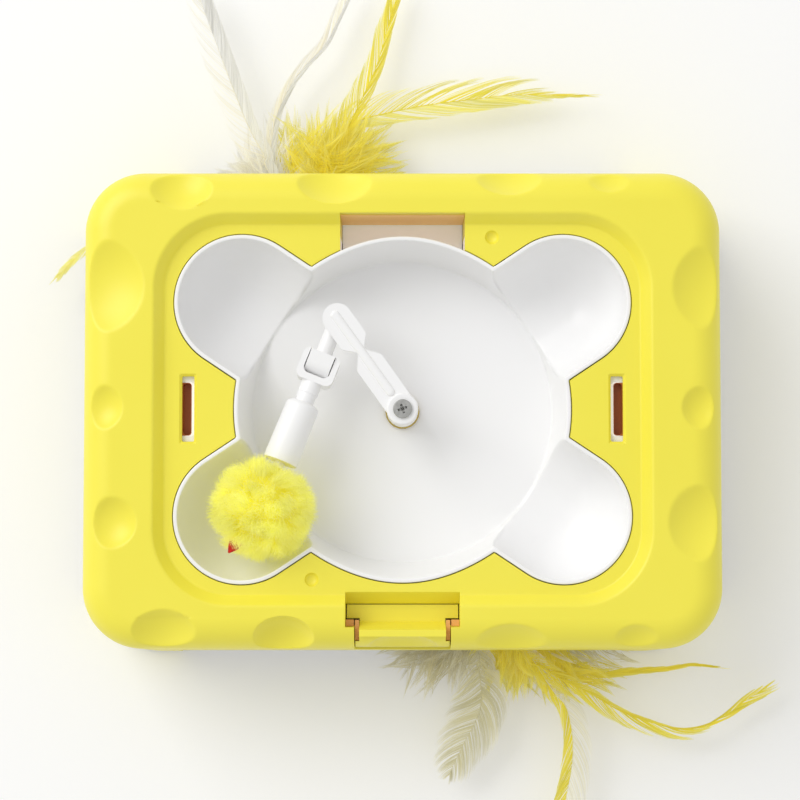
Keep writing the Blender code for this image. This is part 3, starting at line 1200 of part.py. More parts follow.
def blade_outline():
    """Half of the crank blade's outline, as (along, half width), from the hub to the round end."""
    first, narrow, waist, widen, second = BLADE_SHOULDER_SHARES
    reach, half, flare = CRANK_REACH, BLADE_HALF, WAIST_HALF * WAIST_FLARE_SHARE
    points = [(0, half * BLADE_EDGE_SHARE), (first * reach, half), (narrow * reach, flare),
              (waist * reach, WAIST_HALF), (widen * reach, flare)]
    second_start = (second - BLADE_SHOULDER_LENGTH_SHARE) * reach
    points += [(second_start, half * BLADE_EDGE_SHARE), (second * reach, half)]
    for i in range(1, 8):
        turn = math.pi / 2 * i / 7
        points.append((reach + half * math.sin(turn), half * math.cos(turn)))
    return points


def make_crank():
    half = blade_outline()
    outline = [(x, y) for x, y in half] + [(x, -y) for x, y in reversed(half[:-1])]
    body = prism("crank_arm", outline, BLADE_LOW, BLADE_HIGH)
    start, end = (share * CRANK_REACH for share in RIB_END_SHARES)
    rings = []
    for height, shrink in ((BLADE_HIGH - RIB_SLOPE, 0), (BLADE_HIGH, 0), (RIB_HIGH, RIB_SLOPE / 2)):
        x0, x1, y = start + shrink, end - shrink * 2, RIB_HALF - shrink
        corners = ((x0, -y), (x1, -y), (x1, y), (x0, y))
        rings.append([Vector((*corner, height)) for corner in corners])
    join(body, skin("rib", rings))
    hub = (
        (HUB_RADIUS - SEAT_GAP, HUB_LOW),
        (HUB_RADIUS, HUB_LOW + SEAT_GAP),
        (HUB_RADIUS, HUB_HIGH - SEAT_GAP * 2),
        (HUB_RADIUS - SEAT_GAP * 2, HUB_HIGH),
    )
    join(body, turned("hub", hub))
    peg = ((PEG_RADIUS, PEG_LOW), (PEG_RADIUS, BLADE_HIGH - RIB_SLOPE))
    join(body, turned("peg", peg, (CRANK_REACH, 0)))
    drill(body, (0, 0), SPINDLE_RADIUS + RUNNING_GAP, HUB_LOW - OVERRUN, SPINDLE_HIGH + SEAT_GAP, ROUND_STEPS)
    drill(body, (0, 0), SPINDLE_HOLE_RADIUS + RUNNING_GAP, HUB_LOW, HUB_HIGH + OVERRUN, ROUND_STEPS)
    bore = SWIVEL_SCREW_RADIUS + RUNNING_GAP
    drill(body, (CRANK_REACH, 0), bore, PEG_LOW - OVERRUN, PEG_LOW + SWIVEL_SCREW_LENGTH)
    moved(body, Matrix.Rotation(CRANK_ANGLE, 4, "Z"))
    seat = HUB_HIGH + SEAT_GAP
    fixing = turned("crank_screw", (
        (SCREW_RADIUS, seat - HUB_SCREW_LENGTH),
        (SCREW_RADIUS, seat),
        (HUB_SCREW_HEAD, seat),
        (HUB_SCREW_HEAD, seat + HUB_SCREW_THICK - HUB_SCREW_DOME),
        (HUB_SCREW_HEAD * HUB_SCREW_FLAT_SHARE, seat + HUB_SCREW_THICK),
    ))
    top = seat + HUB_SCREW_THICK
    for x, y in ((CROSS_HALF, CROSS_WIDTH / 2), (CROSS_WIDTH / 2, CROSS_HALF)):
        cut(fixing, box("cross", (-x, -y, top - CROSS_DEPTH), (x, y, top + OVERRUN)))
    return body, fixing


def rod_frame():
    """A matrix whose X runs down the rod from the yoke's pivot, and whose Y is the pivot's axis."""
    pivot, aim = Vector(PIVOT), Vector(POMPOM_CENTRE)
    along = (aim - pivot).normalized()
    across = Vector((0, 0, 1)).cross(along).normalized()
    up = along.cross(across)
    return Matrix.Translation(pivot) @ Matrix((along, across, up)).transposed().to_4x4()


def bar(name, start, end, radius, steps=ROUND_STEPS, end_radius=None):
    """A round bar along the frame's X."""
    rings = []
    for x, r in ((start, radius), (end, radius if end_radius is None else end_radius)):
        rings.append([Vector((x, r * math.cos(a), r * math.sin(a))) for a in turns(steps)])
    return skin(name, rings)


def cross_pin(name, half, radius, steps=SMALL_STEPS):
    """A round bar along the frame's Y, centred on the pivot."""
    rings = []
    for y in (-half, half):
        rings.append([Vector((radius * math.cos(a), y, radius * math.sin(a))) for a in turns(steps)])
    return skin(name, rings)


def level_frame():
    """As the rod's frame, but level, for the link, which only swivels."""
    pivot, swivel = Vector(PIVOT), Vector((*SWIVEL_PLACE, PIVOT[2]))
    along = (pivot - swivel).normalized()
    across = Vector((0, 0, 1)).cross(along)
    return Matrix.Translation(pivot) @ Matrix((along, across, Vector((0, 0, 1)))).transposed().to_4x4()


def make_link():
    swivel, frame = SWIVEL_PLACE, level_frame()
    spacing = (Vector(PIVOT) - Vector((*swivel, PIVOT[2]))).length
    body = turned("swivel_link", ((LINK_RADIUS, LINK_LOW), (LINK_RADIUS, LINK_HIGH)), swivel)
    stub = bar("stub", -spacing, 0, STUB_RADIUS, ROUND_STEPS - SMALL_STEPS // 3 * 2)
    block = cross_pin("block", BLOCK_HALF_WIDTH, BLOCK_RADIUS, ROUND_STEPS)
    low = (-BLOCK_RADIUS, -BLOCK_HALF_WIDTH, -BLOCK_RADIUS)
    join(block, box("block_back", low, (0, BLOCK_HALF_WIDTH, BLOCK_RADIUS)))
    join(block, stub)
    join(body, moved(block, frame))
    hole = moved(cross_pin("pin_hole", BLOCK_HALF_WIDTH + OVERRUN, PIN_RADIUS + RUNNING_GAP), frame)
    cut(body, hole)
    drill(body, swivel, PEG_RADIUS + RUNNING_GAP, LINK_LOW - OVERRUN, LINK_HIGH + OVERRUN, ROUND_STEPS)
    seat = LINK_LOW - SEAT_GAP
    fixing = screw("swivel_screw", swivel, SWIVEL_SCREW_RADIUS, SWIVEL_SCREW_HEAD, SWIVEL_SCREW_THICK, seat,
                   SWIVEL_SCREW_LENGTH, 1)
    return body, fixing


def make_rod():
    frame = rod_frame()
    inside = BLOCK_HALF_WIDTH + YOKE_GAP
    outside = inside + YOKE_ARM
    base = YOKE_INSIDE + YOKE_BASE
    middle = (base - YOKE_TAIL) / 2
    plan = [(middle + x, y) for x, y in rounded(middle + YOKE_TAIL, outside, YOKE_CORNER, 4)]
    yoke = prism("rod_yoke", plan, -YOKE_HEIGHT / 2, YOKE_HEIGHT / 2)
    room = [(x, y) for x, y in rounded(YOKE_INSIDE, inside, YOKE_CORNER / 2, 3)]
    cut(yoke, prism("yoke_room", room, -YOKE_HEIGHT, YOKE_HEIGHT))
    square = YOKE_TAIL + YOKE_CORNER
    tails = box("tails", (-square * 2, -inside, -YOKE_HEIGHT), (0, inside, YOKE_HEIGHT))
    cut(yoke, tails)
    join(yoke, bar("neck", base - YOKE_BASE / 2, ROD_START + ROD_SOCKET, NECK_RADIUS, SMALL_STEPS))
    key = box("key", (base - YOKE_BASE / 2, -NECK_RADIUS - NECK_KEY, -NECK_KEY),
              (ROD_START - NECK_KEY, 0, NECK_KEY))
    join(yoke, key)
    cut(yoke, cross_pin("pin_hole", outside + OVERRUN, PIN_RADIUS + RUNNING_GAP))
    moved(yoke, frame)
    pin = moved(cross_pin("yoke_pin", outside - SEAT_GAP, PIN_RADIUS), frame)
    chamfer_end = ROD_START + ROD_CHAMFER
    rod_profile = ((ROD_START, ROD_RADIUS - ROD_CHAMFER), (chamfer_end, ROD_RADIUS), (ROD_END, ROD_RADIUS))
    rings = []
    for x, r in rod_profile:
        rings.append([Vector((x, r * math.cos(a), r * math.sin(a))) for a in turns(ROUND_STEPS)])
    rod = skin("rod_tube", rings)
    socket_end, bore = ROD_START + ROD_SOCKET + SEAT_GAP, NECK_RADIUS + RUNNING_GAP
    cut(rod, bar("socket", ROD_START - OVERRUN, socket_end, bore, SMALL_STEPS))
    cut(rod, bar("bore", ROD_END - ROD_BORE_DEPTH, ROD_END + OVERRUN, ROD_BORE_RADIUS, SMALL_STEPS))
    moved(rod, frame)
    tie = bar("pompom_tie", ROD_END - TIE_PLUG_DEPTH, ROD_END, ROD_BORE_RADIUS - SEAT_GAP, SMALL_STEPS)
    join(tie, bar("stem", ROD_END - TIE_PLUG_DEPTH / 2, TIE_END, TIE_STEM_RADIUS, SMALL_STEPS))
    moved(tie, frame)
    return yoke, pin, rod, tie


def make_pompom():
    """A slightly lumpy ball with a pocket for the rod and its tie, and a felt beak set into its side."""
    centre = Vector(POMPOM_CENTRE)
    rings = []
    for i in range(POMPOM_RINGS + 1):
        tilt = math.pi * i / POMPOM_RINGS
        ring = []
        for a in turns(POMPOM_STEPS):
            lump = math.sin(3 * a + 2 * tilt) * math.sin(2 * tilt) * POMPOM_LUMP_SHARE
            r = POMPOM_RADIUS * (1 + lump - POMPOM_LUMP_SHARE)
            out = r * math.sin(tilt)
            ring.append(centre + Vector((out * math.cos(a), out * math.sin(a), -r * math.cos(tilt))))
        rings.append(ring if 0 < i < POMPOM_RINGS else [ring[0]])
    body = skin("pompom", rings)
    frame = rod_frame()
    pocket = bar("pocket", ROD_START, ROD_END + SEAT_GAP, ROD_RADIUS + FIT_GAP, SMALL_STEPS)
    cut(body, moved(pocket, frame))
    tie_hole = bar("tie_hole", ROD_START, TIE_END + SEAT_GAP, TIE_STEM_RADIUS + FIT_GAP, SMALL_STEPS)
    cut(body, moved(tie_hole, frame))
    out = Vector(BEAK_DIRECTION).normalized()
    turn = Vector((1, 0, 0)).rotation_difference(out).to_matrix().to_4x4()
    place = Matrix.Translation(centre) @ turn
    sunk = POMPOM_RADIUS - BEAK_SINK
    beak = bar("beak", sunk, sunk + BEAK_LENGTH, BEAK_RADIUS, SMALL_STEPS, SEAT_GAP)
    moved(beak, place)
    hollow = bar("beak_seat", sunk - SEAT_GAP, sunk + OVERRUN, BEAK_RADIUS + FIT_GAP, SMALL_STEPS)
    cut(body, moved(hollow, place))
    return body, beak


def make_rotor():
    body = turned("feather_rotor", ((ROTOR_RADIUS, ROTOR_LOW), (ROTOR_RADIUS, ROTOR_HIGH)))
    low, high = (-ROTOR_ARM_REACH, -ROTOR_ARM_HALF, ROTOR_LOW), (ROTOR_ARM_REACH, ROTOR_ARM_HALF, ROTOR_HIGH)
    join(body, moved(box("arms", low, high), Matrix.Rotation(FEATHER_AZIMUTH, 4, "Z")))
    for way in (0, math.pi):
        low = (FERRULE_START, -FERRULE_HALF, FERRULE_LOW)
        socket = box("socket", low, (FERRULE_END, FERRULE_HALF, FERRULE_HIGH))
        join(body, moved(socket, Matrix.Rotation(FEATHER_AZIMUTH + way, 4, "Z")))
    drill(body, (0, 0), SPINDLE_RADIUS + RUNNING_GAP, SPINDLE_LOW - SEAT_GAP, ROTOR_HIGH + OVERRUN, ROUND_STEPS)
    drill(body, (0, 0), SPINDLE_HOLE_RADIUS + RUNNING_GAP, ROTOR_LOW - OVERRUN, ROTOR_HIGH, ROUND_STEPS)
    fixing = screw("rotor_screw", (0, 0), SCREW_RADIUS, ROTOR_SCREW_HEAD, ROTOR_SCREW_THICK,
                   ROTOR_LOW - SEAT_GAP, SPINDLE_HOLE_DEPTH - SEAT_GAP * 4, 1)
    return body, fixing


def smooth_route(points, count):
    """Points spread evenly in parameter along a Catmull-Rom curve through the given ones."""
    knots = [2 * points[0] - points[1], *points, 2 * points[-1] - points[-2]]
    route = []
    for i in range(count):
        place = i / (count - 1) * (len(points) - 1)
        k = min(int(place), len(points) - 2)
        t = place - k
        a, b, c, d = knots[k : k + 4]
        bend = 2 * a - 5 * b + 4 * c - d
        twist = 3 * b - a - 3 * c + d
        route.append(0.5 * (2 * b + (c - a) * t + bend * t * t + twist * t**3))
    return route


def make_feather(name, bundle, slot, slots, route_shares, half_width, plume=False):
    """A vane on a quill, flat and tapered along its route; a plume is a thick tuft instead."""
    azimuth = FEATHER_AZIMUTH + bundle * math.pi
    out = Vector((math.cos(azimuth), math.sin(azimuth)))
    side = Vector((-out.y, out.x))
    offset = ROOT_PITCH * (slot - (slots - 1) / 2)
    root = out * (FERRULE_END + FIT_GAP) + side * offset
    points = [root, root + out * (FERRULE_END * FEATHER_ROOT_SHARE)]
    points += [Vector((x, y)) * FEATHER_SWEEP for x, y in route_shares]
    level = TOP_LEVEL - LEVEL_PITCH * slot
    thick = PLUME_THICK if plume else FEATHER_THICK
    shares = PLUME_SHARES if plume else VANE_SHARES
    flat = smooth_route(points, FEATHER_STEPS)
    rings = []
    for i, (place, share) in enumerate(zip(flat, shares)):
        ahead = flat[min(i + 1, len(flat) - 1)] - flat[max(i - 1, 0)]
        across = Vector((-ahead.y, ahead.x)).normalized()
        half = max(QUILL_HALF, half_width * share)
        lift = QUILL_HALF + (thick / 2 - QUILL_HALF) * min(1, 2 * share)
        sag = FEATHER_DROOP * (place.length / FEATHER_SWEEP) ** 2
        middle = Vector((place.x, place.y, level - sag))
        wide = Vector((across.x, across.y, 0)) * half
        tall = Vector((0, 0, lift))
        rings.append([middle - wide, middle + tall, middle + wide, middle - tall])
    return skin(name, rings)


def make_feathers():
    rear = (
        ("side_feather", SIDE_ROUTE_SHARES, SIDE_VANE_HALF, False),
        ("white_feather_a", WHITE_ROUTE_A_SHARES, WHITE_VANE_HALF, False),
        ("white_feather_b", WHITE_ROUTE_B_SHARES, LEAN_VANE_HALF, False),
        ("yellow_feather_c", CROWN_ROUTE_SHARES, CROWN_VANE_HALF, False),
        ("yellow_feather_d", LONG_ROUTE_D_SHARES, LONG_VANE_HALF, False),
        ("yellow_plume_rear", REAR_PLUME_ROUTE_SHARES, REAR_PLUME_HALF, True),
    )
    front = (
        ("yellow_feather_g", LONG_ROUTE_G_SHARES, LONG_VANE_HALF, False),
        ("yellow_feather_f", DROOP_ROUTE_SHARES, DROOP_VANE_HALF, False),
        ("pale_feather_e", PALE_ROUTE_SHARES, PALE_VANE_HALF, False),
        ("yellow_plume_front", FRONT_PLUME_ROUTE_SHARES, FRONT_PLUME_HALF, True),
    )
    made = []
    for bundle, rows in enumerate((rear, front)):
        for slot, (name, route_shares, half_width, plume) in enumerate(rows):
            place = slot + (PLUME_SLOT_SHARE if plume else 0)
            made.append(make_feather(name, bundle, place, len(rows) + 1, route_shares, half_width, plume))
    return made


def make_switch():
    low = PLATE_TOP + SEAT_GAP
    body = box("switch_body", (SWITCH_X - SWITCH_HALF_X, -SWITCH_HALF_Y, low),
               (SWITCH_X + SWITCH_HALF_X, SWITCH_HALF_Y, low + SWITCH_HEIGHT))
    slot_x, slot_y = KNOB_HALF + SWITCH_TRAVEL / 2 + FIT_GAP, KNOB_HALF + FIT_GAP
    cut(body, box("stem_room", (SWITCH_X - slot_x, -slot_y, low - OVERRUN),
                  (SWITCH_X + slot_x, slot_y, KNOB_STEM_TOP + FIT_GAP)))
    x = SWITCH_X - SWITCH_TRAVEL / 2
    low, high = (x - KNOB_HALF, -KNOB_HALF, KNOB_LOW), (x + KNOB_HALF, KNOB_HALF, KNOB_STEM_TOP)
    knob = box("switch_knob", low, high)
    return body, knob


def make_board():
    body = box("circuit_board", (-BOARD_HALF_X, BOARD_START, BOARD_HEIGHT),
               (BOARD_HALF_X, BOARD_END, BOARD_HEIGHT + BOARD_THICK))
    middle = (BOARD_START + BOARD_END) / 2
    for share in CHIP_PLACE_SHARES:
        x = share * BOARD_HALF_X
        join(body, box("chip", (x - CHIP_HALF, middle - CHIP_HALF, BOARD_HEIGHT + BOARD_THICK / 2),
                       (x + CHIP_HALF, middle + CHIP_HALF, BOARD_HEIGHT + BOARD_THICK + CHIP_HEIGHT)))
    return body


def axis_empty(name, place):
    made = bpy.data.objects.new(name, None)
    made.location = place
    bpy.context.collection.objects.link(made)
    return made


def carry(axis, *things):
    """Parents things to an axis empty, with their origins on it."""
    for thing in things:
        moved(thing, Matrix.Translation(-axis.location))
        thing.parent = axis


def finish(thing, look, smooth_angle=math.radians(35)):
    thing.data.materials.clear()
    thing.data.materials.append(look)
    thing.data.shade_smooth()
    thing.data.set_sharp_from_angle(angle=smooth_angle)


def main():
    empty_file()
    yellow = material("yellow_plastic", (0.93, 0.8, 0.06), 0.38)
    white = material("white_plastic", (0.88, 0.88, 0.87), 0.32)
    natural = material("gear_plastic", (0.85, 0.83, 0.76), 0.35)
    steel = material("steel", (0.6, 0.6, 0.6), 0.3, 1.0)
    brass = material("brass", (0.66, 0.5, 0.2), 0.3, 1.0)
    rubber = material("rubber", (0.04, 0.04, 0.04), 0.8)
    dark = material("dark_plastic", (0.05, 0.05, 0.06), 0.5)
    green = material("board", (0.03, 0.22, 0.1), 0.5)
    copper = material("cell_wrap", (0.75, 0.4, 0.15), 0.35, 0.6)
    fur = material("yellow_fur", (0.85, 0.82, 0.1), 0.9)
    red = material("red_felt", (0.75, 0.04, 0.02), 0.85)
    white_vane = material("white_feather", (0.85, 0.84, 0.8), 0.7)
    yellow_vane = material("yellow_feather", (0.88, 0.76, 0.08), 0.7)

    finish(make_housing(), yellow)
    finish(make_bowl(), white)
    finish(make_chassis(), white)
    tongue = make_latch_tongue()
    finish(tongue, yellow)
    carry(axis_empty("tongue_axis", (0, -LATCH_BACK_FOOT - FIT_GAP, TONGUE_AXIS_HEIGHT)), tongue)

    output, compound, pinion = make_gears()
    can, shaft, axle, spindle, upper, lower = make_drive()
    for thing, look in ((output, natural), (compound, natural), (pinion, brass), (can, steel), (shaft, steel),
                        (axle, steel), (spindle, steel), (upper, brass), (lower, brass)):
        finish(thing, look)
    finish(make_gearbox_cover(), white)
    for thing in make_screws() + make_contacts():
        finish(thing, steel)
    for thing in make_feet():
        finish(thing, rubber)
    cells, door = make_battery_parts()
    for thing in cells:
        finish(thing, copper)
    finish(door, white)
    finish(make_board(), green)
    switch, knob = make_switch()
    finish(switch, dark)
    finish(knob, dark)
    carry(axis_empty("switch_axis", (SWITCH_X - SWITCH_TRAVEL / 2, 0, KNOB_LOW)), knob)
    carry(axis_empty("compound_axis", (*compound_place(), 0)), compound)
    carry(axis_empty("motor_axis", (*motor_place(), 0)), pinion, shaft)

    crank, crank_screw = make_crank()
    rotor, rotor_screw = make_rotor()
    feathers = make_feathers()
    finish(crank, white)
    finish(crank_screw, steel)
    finish(rotor, white)
    finish(rotor_screw, steel)
    for thing in feathers:
        finish(thing, white_vane if thing.name.startswith(("white", "pale")) else yellow_vane)
    spin = axis_empty("spindle_axis", (0, 0, 0))
    link, link_screw = make_link()
    finish(link, white)
    finish(link_screw, steel)
    carry(spin, spindle, output, crank, crank_screw, link_screw, rotor, rotor_screw, *feathers)
    carry(axis_empty("link_axis", (*SWIVEL_PLACE, LINK_LOW)), link)
    yoke, pin, rod, tie = make_rod()
    pompom, beak = make_pompom()
    for thing, look in ((yoke, white), (pin, steel), (rod, white), (tie, white), (pompom, fur), (beak, red)):
        finish(thing, look)
    carry(axis_empty("rod_axis", PIVOT), yoke, pin, rod, tie, pompom, beak)


main()
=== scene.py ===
import json
import math

import bmesh
import bpy
import numpy as np
from mathutils import Matrix, Vector, noise


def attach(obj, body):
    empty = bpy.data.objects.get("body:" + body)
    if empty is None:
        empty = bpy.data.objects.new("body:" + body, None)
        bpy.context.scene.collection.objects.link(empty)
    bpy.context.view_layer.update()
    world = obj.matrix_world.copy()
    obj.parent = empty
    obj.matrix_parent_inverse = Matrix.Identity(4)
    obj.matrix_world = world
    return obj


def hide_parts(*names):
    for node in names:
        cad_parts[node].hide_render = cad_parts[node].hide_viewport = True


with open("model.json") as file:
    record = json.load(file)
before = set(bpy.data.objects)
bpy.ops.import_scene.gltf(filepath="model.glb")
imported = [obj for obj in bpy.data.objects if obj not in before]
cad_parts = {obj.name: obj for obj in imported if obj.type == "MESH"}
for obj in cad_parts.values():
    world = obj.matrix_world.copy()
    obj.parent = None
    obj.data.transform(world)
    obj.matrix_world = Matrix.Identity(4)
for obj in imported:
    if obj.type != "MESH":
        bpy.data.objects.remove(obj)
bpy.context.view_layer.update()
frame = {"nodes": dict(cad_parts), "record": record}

MM = 0.001
nodes = frame["nodes"]

# The housing's form, as in the model
HALF_LENGTH, HALF_WIDTH, HEIGHT = 120 * MM, 91 * MM, 70 * MM
CORNER, FILLET = 27 * MM, 11.5 * MM
DRAFT = math.radians(5)
WALL = 2.4 * MM
FLOOR = 65.5 * MM
PANEL_UNDERSIDE = 63.1 * MM
RIM = 66 * MM
# Each side's scoops: the place along it from -1 to 1, and radius and reach inwards as shares of the height
HOLES = {
    "north": ((-0.66, 0.158, 0.283), (-0.204, 0.191, 0.254), (0.319, 0.164, 0.21), (0.617, 0.101, 0.196)),
    "south": ((-0.706, 0.163, 0.284), (-0.352, 0.154, 0.25), (0.323, 0.174, 0.21), (0.692, 0.106, 0.206)),
    "west": ((0.48, 0.244, 0.396), (0.004, 0.119, 0.291), (-0.446, 0.13, 0.366)),
    "east": ((0.475, 0.239, 0.337), (0.003, 0.114, 0.294), (-0.447, 0.201, 0.367)),
}
LATCH_HOLE_RADIUS, LATCH_HOLE_INSET, LATCH_HOLE_DEPTH = 10.7 * MM, 10.6 * MM, 3.2 * MM
LATCH_HOLE_TILT = math.radians(18)
# Half length, half width and corner of the recess for the lid
RECESS = (88.85 * MM, 69.9 * MM, 27 * MM)
SLOT_MIDDLE = 76.8 * MM
# Where a noise's values are cut off before they are spread over a range
NOISE_LOW, NOISE_HIGH = 0.3, 0.7


def mm(*values):
    return tuple(value * MM for value in values)


def angles(steps):
    return [2 * math.pi * i / steps for i in range(steps)]


# Materials
def fill(node, values):
    for label, value in values.items():
        node.inputs[label].default_value = value


def new_material(name, colour, roughness, specular=0.5, metallic=0.0):
    made = bpy.data.materials.new(name)
    made.use_nodes = True
    shader = made.node_tree.nodes["Principled BSDF"]
    fill(shader, {"Base Color": (*colour, 1), "Roughness": roughness, "Metallic": metallic,
                  "Specular IOR Level": specular})
    return made, made.node_tree, shader


def noise_of(tree, scale, detail, stretch=None):
    place = tree.nodes.new("ShaderNodeTexCoord").outputs["Object"]
    made = tree.nodes.new("ShaderNodeTexNoise")
    fill(made, {"Scale": scale, "Detail": detail})
    if stretch:
        mapping = tree.nodes.new("ShaderNodeMapping")
        fill(mapping, {"Scale": stretch})
        tree.links.new(place, mapping.inputs["Vector"])
        place = mapping.outputs["Vector"]
    tree.links.new(place, made.inputs["Vector"])
    return made.outputs["Fac"]


def remap(tree, source, low, high):
    made = tree.nodes.new("ShaderNodeMapRange")
    fill(made, {"From Min": NOISE_LOW, "From Max": NOISE_HIGH, "To Min": low, "To Max": high})
    tree.links.new(source, made.inputs["Value"])
    return made.outputs["Result"]


def ramp(tree, source, first, second):
    made = tree.nodes.new("ShaderNodeValToRGB")
    for stop, place, colour in zip(made.color_ramp.elements, (NOISE_LOW, NOISE_HIGH), (first, second)):
        stop.position = place
        stop.color = (*colour, 1)
    tree.links.new(source, made.inputs["Fac"])
    return made.outputs["Color"]


def bump(tree, shader, source, strength, distance):
    made = tree.nodes.new("ShaderNodeBump")
    fill(made, {"Strength": strength, "Distance": distance})
    tree.links.new(source, made.inputs["Height"])
    tree.links.new(made.outputs["Normal"], shader.inputs["Normal"])


def plastic(name, colour, shade, roughness, spread=0.05, grain=0.12, glow=0.0):
    """Moulded plastic: faint clouding in its colour, and a fine grain in its gloss and surface."""
    made, tree, shader = new_material(name, colour, roughness)
    cloud = noise_of(tree, 18, 4)
    tree.links.new(ramp(tree, cloud, shade, colour), shader.inputs["Base Color"])
    fine = noise_of(tree, 2600, 2)
    gloss = remap(tree, fine, roughness - spread, roughness + spread)
    tree.links.new(gloss, shader.inputs["Roughness"])
    bump(tree, shader, fine, grain, 0.02 * MM)
    if glow:
        fill(shader, {"Subsurface Weight": glow, "Subsurface Radius": (1, 0.8, 0.5),
                      "Subsurface Scale": 1.2 * MM})
    return made


def metal(name, colour, roughness):
    made, tree, shader = new_material(name, colour, roughness, metallic=1.0)
    fine = noise_of(tree, 900, 3, (1, 1, 6))
    gloss = remap(tree, fine, roughness - 0.08, roughness + 0.1)
    tree.links.new(gloss, shader.inputs["Roughness"])
    tint = tuple(c * 0.85 for c in colour)
    tree.links.new(ramp(tree, fine, tint, colour), shader.inputs["Base Color"])
    return made


def fibre(name, roughness, sheen, through, painted_glow_strength):
    """Hair or barbs in the strands' own colours. Some light passes through, and the last argument is a
    painted glow in their colours, standing in for light that bounces among them more often than a render
    follows."""
    made, tree, shader = new_material(name, (0.8, 0.8, 0.8), roughness, 0.3)
    tint = tree.nodes.new("ShaderNodeVertexColor")
    tint.layer_name = "tint"
    tree.links.new(tint.outputs["Color"], shader.inputs["Base Color"])
    # painted glow: the strands give off light in their own colour
    tree.links.new(tint.outputs["Color"], shader.inputs["Emission Color"])
    fill(shader, {"Sheen Weight": sheen, "Emission Strength": painted_glow_strength})
    glow = tree.nodes.new("ShaderNodeBsdfTranslucent")
    tree.links.new(tint.outputs["Color"], glow.inputs["Color"])
    mix = tree.nodes.new("ShaderNodeMixShader")
    fill(mix, {"Fac": through})
    tree.links.new(shader.outputs["BSDF"], mix.inputs[1])
    tree.links.new(glow.outputs["BSDF"], mix.inputs[2])
    tree.links.new(mix.outputs["Shader"], tree.nodes["Material Output"].inputs["Surface"])
    return made


def felt(name, colour):
    made, tree, shader = new_material(name, colour, 0.9, 0.2)
    fuzz = noise_of(tree, 900, 5)
    shade = tuple(c * 0.6 for c in colour)
    tree.links.new(ramp(tree, fuzz, shade, colour), shader.inputs["Base Color"])
    fill(shader, {"Sheen Weight": 0.4})
    bump(tree, shader, fuzz, 0.6, 0.2 * MM)
    return made


YELLOW = plastic("yellow_moulding", (0.93, 0.83, 0.075), (0.91, 0.81, 0.065), 0.4, glow=0.05)
WHITE = plastic("white_moulding", (0.93, 0.926, 0.924), (0.915, 0.912, 0.91), 0.34)
# The slot, latch and notch colours below are painted shade: the shaded inside of the yellow housing, put on
# thin sheets
PAINTED_SLOT_SHADE = plastic("clip_slot_painted_shade", (0.46, 0.12, 0.015), (0.38, 0.09, 0.012), 0.5)
PAINTED_LATCH_SHADE = plastic("latch_painted_shade", (0.82, 0.42, 0.14), (0.76, 0.37, 0.12), 0.5)
PAINTED_NOTCH_SHADE_AND_GLOW = plastic("notch_painted_shade_and_glow", (0.95, 0.62, 0.22), (0.9, 0.56, 0.19), 0.5)
LILAC = plastic("deck_moulding_painted_glow", (0.95, 0.93, 0.93), (0.92, 0.9, 0.905), 0.45)
# Painted glow on the pale lips, deck and cheeks and on the notch's wall, standing in for light that comes
# through the thin yellow shell
for look, colour, strength in ((LILAC, (1, 0.97, 0.97, 1), 0.2), (PAINTED_NOTCH_SHADE_AND_GLOW, (0.9, 0.55, 0.2, 1), 0.08)):
    fill(look.node_tree.nodes["Principled BSDF"], {"Emission Color": colour, "Emission Strength": strength})
NATURAL = plastic("gear_moulding", (0.8, 0.78, 0.7), (0.74, 0.72, 0.64), 0.35)
DARK = plastic("dark_moulding", (0.03, 0.03, 0.035), (0.02, 0.02, 0.022), 0.5)
RUBBER = plastic("foot_rubber", (0.03, 0.03, 0.03), (0.02, 0.02, 0.02), 0.8, grain=0.5)
BOARD = plastic("board_mask", (0.02, 0.18, 0.07), (0.015, 0.13, 0.05), 0.35)
WRAP = plastic("cell_wrap", (0.5, 0.24, 0.07), (0.4, 0.18, 0.05), 0.3)
STEEL = metal("plated_steel", (0.62, 0.61, 0.58), 0.32)
SCREW = metal("screw_steel", (0.5, 0.5, 0.48), 0.45)
BRASS = metal("turned_brass", (0.6, 0.45, 0.12), 0.3)
# The last number is the strength of a painted glow on the pompom's fur and core and on the feathers and
# down
FUR = fibre("pompom_fibre", 0.75, 0.5, 0.6, 0.17)
VANE = fibre("feather_barbs", 0.55, 0.1, 0.5, 0.1)
RED = felt("red_felt", (0.62, 0.02, 0.012))
LOOKS = {
    "yellow_plastic": YELLOW, "white_plastic": WHITE, "gear_plastic": NATURAL, "dark_plastic": DARK,
    "rubber": RUBBER, "board": BOARD, "cell_wrap": WRAP, "steel": STEEL, "brass": BRASS, "yellow_fur": FUR,
    "red_felt": RED, "white_feather": VANE, "yellow_feather": VANE,
}
for row in frame["record"]["subparts"]:
    part = nodes[row["node"]]
    part.data.materials.clear()
    part.data.materials.append(LOOKS[row["material_slot"]])


# Mesh helpers
def mesh_object(name, verts, faces, look=None):
    mesh = bpy.data.meshes.new(name)
    mesh.from_pydata([tuple(v) for v in verts], [], faces)
    mesh.validate()
    made = bpy.data.objects.new(name, mesh)
    bpy.context.scene.collection.objects.link(made)
    if look:
        mesh.materials.append(look)
    return made


def outward(thing):
    shape = bmesh.new()
    shape.from_mesh(thing.data)
    bmesh.ops.recalc_face_normals(shape, faces=shape.faces)
    shape.to_mesh(thing.data)
    shape.free()
    return thing


